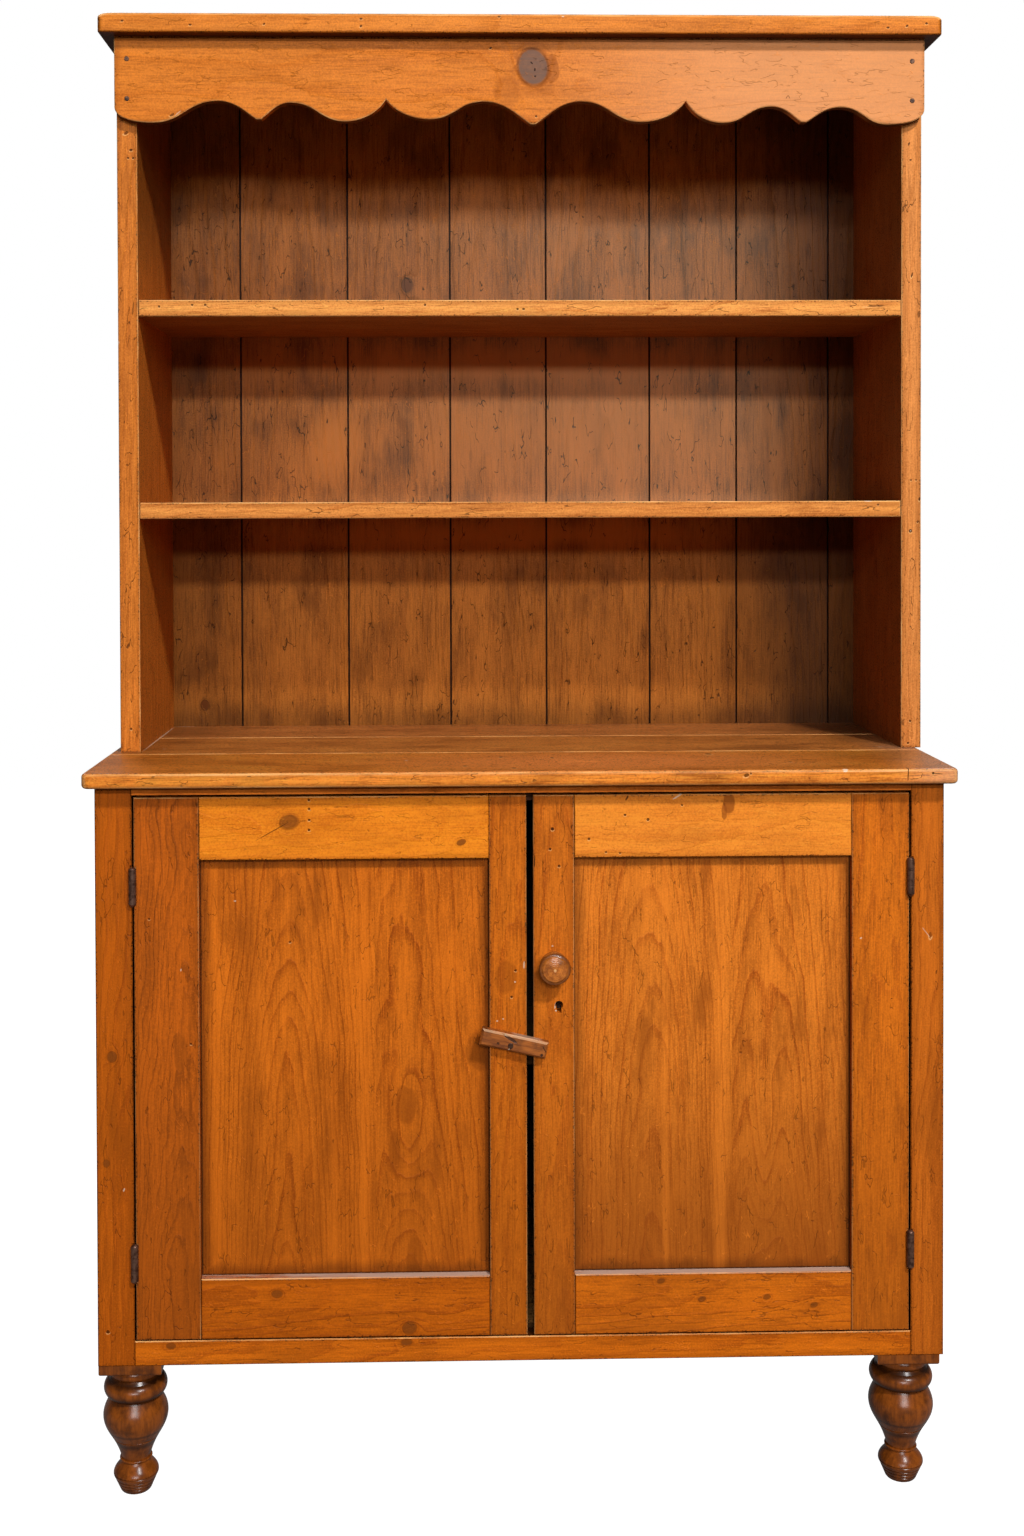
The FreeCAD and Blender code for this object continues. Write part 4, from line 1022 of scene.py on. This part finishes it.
# %% Finish the counter
corner_wax = [(-534.6, 98, 135, 1.5, 90, -0.55), (-520, 236.6, 16, 1.5, 0, -0.55)]
counter_looks = {
    "front": dict(lift=(1.34, 1.24, 1.02),
                  marks=[(-483.7, 958.5, 2.6, 0.8, 10, 0.7), (-360.8, 958.4, 3.0, 0.8, 0, 0.6),
                         nail(524.5, 957.0, 1.6, 0.9), (531.5, 956.2, 6.0, 0.6, -4, 0.7),
                         (492.0, 955.0, 8.0, 0.8, 86, 0.85), (410.5, 960.4, 3.0, 1.2, 10, -0.9),
                         (281.3, 955.8, 3.6, 2.4, 20, 0.75), nail(287.2, 958.1, 1.5)],
                  # painted sheen in the middle and along the front edge, painted shade at the two
                  # ends
                  pools=[(90, -165, 360, 120, -1.0), (-520, -120, 130, 90, 0.22),
                         (500, -120, 120, 60, 0.25), (0, -250, 560, 12, -0.5)],
                  top_marks=[(-161.1, -146.1, 2.2, 1.6, 0, -0.8), (-82.6, -198.6, 3.4, 5, 0, 0.8),
                             (-32.7, -117.7, 3, 6, 0, 0.7), (-18.6, -218.9, 3.4, 5, 0, 0.7),
                             (36.6, -126.4, 2.6, 6, 0, 0.7), (253.9, -101, 5, 8, 0, 0.55),
                             (352.1, -179, 2.4, 5, 0, 0.6), (492.9, -243, 8.0, 0.9, 88, 0.85),
                             (410.5, -247, 4.0, 2.0, 0, -0.9)]),
    "middle": dict(lift=(1.2, 1.22, 1.45),
                   # painted shadow of the sides in the corners
                   pools=[(-540, 60, 110, 190, 0.35), (520, 60, 90, 110, 0.5)],
                   top_marks=corner_wax[:1] + [(-507.9, -17.8, 3.0, 1.4, 20, -0.9),
                                               (507.9, -41.5, 4.0, 1.4, 10, -0.7),
                                               (536.1, -42.8, 3.0, 1.4, -20, -0.7)]),
    "back": dict(lift=(1.14, 1.2, 1.75), top_marks=corner_wax,
                 # painted shadow of the sides in the corners, and painted shade along the back
                 pools=[(-540, 180, 140, 130, 0.5), (540, 170, 190, 130, 0.85),
                        (0, 248, 560, 34, 0.3)])}
for name, own in counter_looks.items():
    # the chalky drift at the right end is a painted grey-white sheen
    pine(f"counter_{name}_board", "x", tone(224, 134, 54), tone(156, 80, 26),
         tone(108, 54, 16), heart=(40, 70), ring=6.0, contrast=0.6, clouds=0.75, gloss=0.3,
         flecks=0.8, strokes=0.6, fine_grain=1.2,
         hidden=[shaded_underside, ("+y", 0.9, 5.0), ("-y", 0.9, 5.0)], worn=(0.7, 0.5),
         drift=(chalk_and_sheen, 460, 560, 0.24), **own)
    measure(f"counter_{name}_board")


# %% [markdown]
# ## The lower case
#
# Posts, sides and rails make the frame that the doors close. The posts' and rails' faces
# towards the doors are darkened with painted shade, so that the gaps read as thin black lines.
# The inside was never waxed: its boards are bare, paler and dull, and their front faces are
# darkened with painted shade, because they show only through the gaps.

# %% Finish the lower case
door_gap = (0.94, 0.8)           # how dark the painted shade on a face in a door's gap is, and from how deep
pine("left_front_post", "z", tone(182, 88, 20), tone(138, 58, 8), heart=(30, 60),
     lift=(1.04, 1.04, 0.6), clouds=0.5, hidden=[("+x", *door_gap)],
     knots=[(-544.1, 588.7, 6, 7, 0, 0.75), (-552.1, 449.1, 4, 5, 0, 0.7)],
     marks=[(-551.6, 227.6, 2.4, 2.0, 0, 0.8), (-529.6, 414.1, 2.6, 1.0, 70, -0.7)])
pine("right_front_post", "z", tone(196, 100, 26), tone(150, 66, 12), heart=(30, 60),
     lift=(1.02, 1.04, 0.9), clouds=0.5, hidden=[("-x", *door_gap)],
     marks=[(529, 739, 4.4, 2.0, 88, 0.5), (524, 742, 9, 0.6, -52, -0.5),
            (537, 690, 3, 1, 80, 0.6)])
for side in ("left", "right"):
    pine(f"{side}_lower_side", "z", tone(196, 104, 34), tone(152, 70, 16), heart=(90, 10),
         ring=6.0)
pine("bottom_rail", "x", tone(210, 108, 24), tone(166, 74, 12), heart=(10, 70),
     lift=(1.03, 1.0, 0.6), hidden=[("+z", 0.92, 0.8), shaded_underside],
     knots=[(-469.7, 208, 6, 4, 0, 0.8), (-161.9, 208.9, 7, 4, 0, 0.8)])
# the top rail's lift is painted light against the counter's shadow; its lower face gets painted
# shade
pine("top_rail", "x", tone(214, 112, 34), tone(164, 80, 18), heart=(10, 70),
     lift=(1.3, 1.25, 1.1), edges=0.0, hidden=[("-z", 0.92, 0.8)])
pine("door_stop_strip", "x", tone(84, 44, 18), tone(60, 30, 12), dirt_and_shade, heart=(20, 80))
# the inner boards' front faces, seen only through the gaps, are darkened with painted shade
for name, axis in (("case_floor", "x"), ("inner_shelf", "x"), ("shelf_cleats", "y"),
                   ("foot_blocks", "z"), ("lower_back_board_1", "z"),
                   ("lower_back_board_2", "z"), ("lower_back_board_3", "z")):
    pine(name, axis, tone(206, 150, 90), tone(160, 100, 48), tone(120, 76, 36),
         heart=(20, 80), gloss=0.6, hidden=[("-y", 0.9, -9.0)])
measure("left_front_post", "right_front_post", "bottom_rail", "top_rail", "inner_shelf")


# %% [markdown]
# ## The doors
#
# Each door is a frame of four boards round a flat panel, and each board shows its own figure.
# The bottom rails' upper faces hold dust with a painted sheen, faces in the gaps are darkened
# with painted shade, and the meeting stiles are darkened round the knob and the button, below
# and left of the knob with its painted shadow. The frames come first, with the knots and marks
# of each board.

# %% Knots and marks of the door frames
door_falloff_shade = (680, 300, 0.42)     # the doors darken downwards: painted shade of the lamps' falloff, and darker wood
inward = {"left": "+x", "right": "-x"}
low_knots = {"left": [(-331.1, 274.6, 7, 5, 0, 0.7), (-157.9, 227.4, 9, 8, 20, 0.7)],
             "right": [(x, z, 5, 3.2, 15, 0.75) for x, z in (
                 (173, 285.1), (227.1, 260.5), (317, 295.2), (313, 262), (375.3, 250.6))]}
rail_marks = {"left": [(-333.3, 882.6, 24, 0.7, 29, 0.6)]
              + [nail(-286.4, z) for z in (922.8, 911.1, 896.7, 883.6)],
              "right": [(129.2, 922.7, 4.0, 1.2, 60, 0.8), nail(126.5, 900.4),
                       (195.5, 924.2, 7.5, 1.1, 30, -0.8), nail(79.2, 869.2, 1.9),
                       nail(101.5, 851.9, 1.5, 0.7), nail(119.9, 850.5, 1.5, 0.7),
                       nail(156.7, 894.2, 1.9), nail(201.4, 913.0, 1.5, 0.7)]}
meeting_marks = {"left": [nail(-17.5, 697.2, 1.6), nail(-22.8, 662.4, 1.6),
                          (-6.3, 704.3, 5.0, 1.2, 88, -0.6), (-41.9, 631, 1.5, 1.0, 0, -0.7),
                          (-34, 633.5, 1.3, 1.0, 0, -0.7), (-18.2, 682.1, 1.3, 1.0, 0, -0.7)],
                 "right": [nail(31.4, 882.7, 2.1, 0.9), nail(28.1, 856.4, 1.8),
                           nail(39.8, 834.0, 1.8), (56.3, 885.1, 3.2, 1.0, 80, 0.7),
                           (37.8, 643.4, 4.2, 1.2, -12, -0.9),
                           (34.4, 650, 4.5, 0.9, 80, -0.7),
                           (7.8, 840.8, 8.5, 0.9, 88, 0.8), (31.1, 729, 1.5, 1.0, 0, -0.7)]}
print(sum(len(marks) for group in (rail_marks, meeting_marks) for marks in group.values()),
      "marks on the top rails and meeting stiles")


# %% Finish the door frames
for side, top_knots, top_lift, low_lift, meeting_lift in (
        ("left", [(-312.4, 894.2, 12, 9, 12, 0.7), (-88, 866, 6, 3.6, 20, 0.8)],
         (1.15, 1.11, 0.66), (0.98, 0.91, 0.63), (1.06, 1.03, 0.75)),
        ("right", [], (1.15, 1.19, 1.36), (1.16, 1.15, 0.95), (1.06, 1.06, 0.95))):
    pine(f"{side}_door_top_rail", "x", tone(232, 132, 38), tone(198, 98, 18), heart=(10, 90),
         lift=top_lift, ring=6.0, contrast=0.34, clouds=0.3, fine_grain=0.45,
         streaks=0.25, knots=top_knots, marks=rail_marks[side], strokes=0.25,
         patches=[(263.2, 915, 9, 15, 0.8), (257, 905, 4, 12, 0.7)],
         hidden=[("+z", 0.5, 3.0), ("-z", 0.5, 2.0)])
    pine(f"{side}_door_bottom_rail", "x", tone(196, 100, 18), tone(152, 68, 8), heart=(20, 70),
         lift=low_lift, ring=5.5, dust=1.0, knots=low_knots[side], hidden=[("-z", *door_gap)])
    pine(f"{side}_door_meeting_stile", "z", tone(202, 106, 26), tone(162, 72, 12),
         heart=(10, 60), lift=meeting_lift, marks=meeting_marks[side],
         fall=door_falloff_shade, worn=(0.7, 0.3), fine_grain=1.2,
         # the patch below and left of the knob is its painted shadow
         patches=[(22, 690, 17, 26, 0.4), (-30, 688, 16, 22, 0.45)],
         hidden=[(inward[side], *door_gap), ("-z", *door_gap)])
pine("left_door_hinge_stile", "z", tone(190, 92, 18), tone(126, 58, 10), heart=(22, 34),
     ripple=17.0, lean=(0.02, 0.05), ring=4.2, wobble=44, contrast=1.0, fall=door_falloff_shade,
     worn=(0.7, 0.3), patches=[(-455, 590, 9, 26, 0.45)],
     hidden=[("-x", *door_gap), ("-z", *door_gap)],
     marks=[(-453.8, 701.8, 2.0, 1.0, 80, -0.6), nail(-494.9, 768.8, 1.5, 0.7),
            nail(-441.4, 604.7, 1.5, 0.7)])
pine("right_door_hinge_stile", "z", tone(204, 104, 22), tone(162, 72, 12), heart=(12, 70),
     lift=(1.09, 1.13, 1.05), ring=6.0, clouds=0.6, fall=door_falloff_shade, worn=(0.7, 0.3), fine_grain=1.2,
     hidden=[("+x", *door_gap), ("-z", *door_gap)],
     marks=[(437.3, 736, 1.8, 1.0, 30, -0.7)])
measure("left_door_hinge_stile", "right_door_hinge_stile")


# %% [markdown]
# ## The door panels
#
# The panels carry nested arches, because the saw passed close to the heart of the tree, and an
# eye where a knot lies just under the face. Each is glued from two boards, so the figure
# starts anew at the seam. Grime and painted shade sit in the corner between panel and frame,
# and the left panel carries the button's painted shadow.

# %% Finish the panels
def clear_panel(side):
    """The part of a panel that shows between its stiles and rails, in millimetres."""
    inner = [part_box(f"{side}_door_{part}") for part in
             ("hinge_stile", "meeting_stile", "bottom_rail", "top_rail")]
    if side == "left":
        x0, x1 = inner[0][1].x, inner[1][0].x
    else:
        x0, x1 = inner[1][1].x, inner[0][0].x
    return [value / MM for value in (x0, x1, inner[2][1].z, inner[3][0].z)]


pine("left_door_panel", "z", tone(204, 106, 26), tone(150, 66, 8), heart=(-75, 46),
     lift=(1.06, 1.04, 0.8), lean=(0.0, 0.07), ring=5.5, wobble=30, joint=(-201.4, -156.0),
     fall=door_falloff_shade, clouds=0.65, contrast=0.95,
     swells=[(-158, 490, 24, 85, 20)], corners=clear_panel("left"),
     # the last patch, below and left of the button, is its painted shadow
     patches=[(-161, 517, 15, 26, 0.55), (-177, 455, 9, 32, 0.5), (-151, 310, 11, 36, 0.5),
              (-64, 588, 20, 30, 0.6)],
     bands=[(-411, 10, -0.3), (-217, 11, -0.3), (-256, 8, -0.2), (-368, 22, 0.22)],
     marks=[(-322, 806.5, 5.0, 0.8, -60, 0.45), (-311, 806.5, 5.0, 0.8, 60, 0.45),
            nail(-313.1, 733.9, 1.6, 0.7), (-343.3, 719, 9.0, 0.8, 90, 0.5),
            (-384.8, 788.5, 1.6, 1.2, 0, -0.6)])
pine("right_door_panel", "z", tone(218, 120, 34), tone(166, 76, 14), heart=(-82, 46),
     lift=(1.05, 1.06, 1.1), lean=(0.0, 0.07), ring=5.5, wobble=30, joint=(269.6, -152.0),
     fall=(660, 300, 0.7), clouds=0.65, contrast=0.95,
     swells=[(312.6, 480, 18, 150, 18)], corners=clear_panel("right"),
     bands=[(253, 13, -0.25), (181, 6, -0.2), (140, 16, 0.15)])
measure("left_door_panel", "right_door_panel")


# %% [markdown]
# ## Dark turned wood: feet, knob and turn button
#
# The feet, the knob and the button are turned or cut from a darker wood and polished, so they
# get a finish of their own: one streaky grain along the piece, a fine one across it, and
# blotches of old polish. The feet's scribed lines hold dirt, and their hollows dirt and painted
# shade. The knob was turned across its grain, so it shows the rings of the lathe instead, with
# a painted highlight in its middle and painted shade at its rim. The button's upper bevel
# carries a pale painted highlight, partly wear.

# %% A finish for turned and polished wood
old_polish = tone(44, 20, 8)


class Polished(Finish):
    """Dark polished wood. along says where a place lies along and across its grain."""

    def __init__(self, name, pale, deep, along, rough=1.0, figure=1.0):
        """rough is how much the grain stands up, and figure how much it shows."""
        super().__init__(name, pale)
        run, first, second = along(self)
        grain = self.noise(self.point(first * 0.16, second * 0.16, run * 0.02), 4, 0.65)
        self.fine = self.noise(self.point(first * 0.9, second * 0.9, run * 0.06), 2, 0.6)
        self.cloud = self.noise(self.point(self.x * 0.05, self.y * 0.05, self.z * 0.05), 4, 0.6)
        self.paint(self.rise(grain, 0.38, 0.66) * figure, deep)
        self.paint(self.rise(self.fine, 0.5, 0.7) * (0.5 * figure), deep)
        self.paint(self.rise(self.cloud, 0.42, 0.7) * 0.6, old_polish)
        self.height = grain * (0.15 * rough) + self.fine * (0.08 * rough) + self.cloud * 0.3

    def polish(self, gloss, specular):
        return self.done(self.cloud * 0.12 + gloss, specular)


print("old polish is", [round(v, 3) for v in old_polish[:3]])


# %% Finish the feet
scribed_lines, line_reach = (23, 16, 11, 6), 2.0
# dark bands: dirt with painted shade in the hollows, then dirt in the scribed lines
foot_grooves = [(143, 160, 0.9), (122, 140, 0.92), (58, 74, 0.7), (80, 87, 0.6), (-1, 6, 0.5)]
foot_grooves += [(z - line_reach, z + line_reach, 0.5) for z in scribed_lines]

foot_finish = Polished("foot_wood", tone(144, 74, 20), tone(76, 34, 9),
                       lambda f: (f.z, f.x, f.y), rough=0.15, figure=0.5)
for groove_low, groove_high, amount in foot_grooves:
    deepest = (groove_low + groove_high) / 2
    hollow_darkening = foot_finish.hump(foot_finish.z, groove_low, deepest, deepest, groove_high)
    foot_finish.paint(hollow_darkening * amount, dirt_and_shade)
foot_wood = foot_finish.polish(0.2, specular=0.3)
feet = [name for name in nodes if name.endswith("_foot")]
for name in feet:
    dress(name, foot_wood)
measure(*feet)


# %% Finish the knob
knob_x, knob_z = ((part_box("door_knob")[0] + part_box("door_knob")[1]) / 2 / MM).xz
lathe_waves = 2.6                        # how fast the lathe's rings follow one another
centre_highlight, rim_shade, rim_step = (0.8, 2.6), (15.0, 19.5), (15.5, 17.5)    # from the axis: the painted highlight in the middle, the rim's painted shade and its step

knob = Polished("knob_wood", tone(218, 126, 46), tone(170, 90, 28), lambda f: (f.y, f.x, f.z))
from_axis = knob.length(knob.x - knob_x, knob.z - knob_z)
lathe_rings = knob.sum("SINE", from_axis * lathe_waves) * 0.5 + 0.5
knob.paint(lathe_rings * 0.25, tone(120, 64, 24))
# a painted highlight in the middle, and painted shade at the rim
knob.paint(knob.fade(from_axis, *centre_highlight, 0.7), tone(250, 196, 130))
knob.paint(knob.rise(from_axis, *rim_shade, 0.0, 0.75), tone(84, 42, 16))
knob.height = knob.height + lathe_rings * 0.12 - knob.rise(from_axis, *rim_step)
dress("door_knob", knob.polish(0.2, specular=0.5))
print("the knob's middle is at", round(knob_x, 1), round(knob_z, 1), "mm")


# %% Finish the turn button, whose grain runs along its slant
slant = math.radians(-12.2)
button_marks = [nail(-40.9, 605.5), nail(15.7, 589.6, 1.9, 0.9),
                (-25.0, 611.6, 11.0, 2.2, -33, 0.85), (20.0, 596.0, 5.5, 0.9, -60, 0.7),
                (-26.5, 598.0, 2.4, 0.8, 40, -0.8), (-8.0, 612.5, 26.0, 0.7, -12, -0.35)]
button = Polished("button_wood", tone(176, 98, 36), tone(122, 62, 20),
                  lambda f: (f.x * math.cos(slant) + f.z * math.sin(slant),
                             f.z * math.cos(slant) - f.x * math.sin(slant), f.y))
for mark in button_marks:
    press(button, button.z, mark, button.fine, depth=0.8)
button_normal = button.split(button.add("TexCoord", output="Normal"))
# a pale painted highlight on the bevel that looks up, partly wear
top_bevel_highlight = button.rise(button_normal[2], 0.3, 0.6)
top_bevel_highlight = top_bevel_highlight * button.rise(button_normal[1] * -1.0, 0.2, 0.5)
button.paint(top_bevel_highlight * 0.4, tone(230, 180, 130))
dress("turn_button", button.polish(0.3, specular=0.45))
measure("turn_button")


# %% [markdown]
# ## Iron: hinges, nails, screws and lock
#
# Wrought iron in a house goes brown, not orange. A slow noise parts bare metal from rust, and
# a fine one pits it. The fastenings are darker than the hinges, because nobody touches them.

# %% Finish the iron
iron_gloss = 0.34


def old_iron(name, bare, rust):
    iron = Finish(name, bare)
    cloud = iron.noise(iron.point(iron.x * 0.16, iron.y * 0.16, iron.z * 0.16), 4, 0.6)
    pits = iron.noise(iron.point(iron.x * 0.9, iron.y * 0.9, iron.z * 0.9), 3, 0.6)
    iron.paint(iron.rise(cloud, 0.4, 0.65), rust)
    iron.height = pits * 0.12 + cloud * 0.08
    return iron.done(cloud * 0.2 + iron_gloss, specular=0.4, metallic=0.55)


hinge_iron = old_iron("brown_iron", tone(104, 74, 60), tone(60, 34, 22))
screw_iron = old_iron("screw_iron", tone(92, 62, 44), tone(40, 22, 14))
fastenings = [name for name in nodes if "screw" in name or name == "frieze_nails"]
fittings = [name for name in nodes if "hinge_leaves" in name
            or name in ("hinge_pins", "lock_case", "lock_bolt")]
for names, iron in ((fittings, hinge_iron), (fastenings, screw_iron)):
    for name in names:
        dress(name, iron)
print(len(fittings), "fittings and", len(fastenings), "sets of fastenings in iron")


# %% [markdown]
# ## The end
#
# The finishes change no shape, so the piece keeps the size printed at the start.
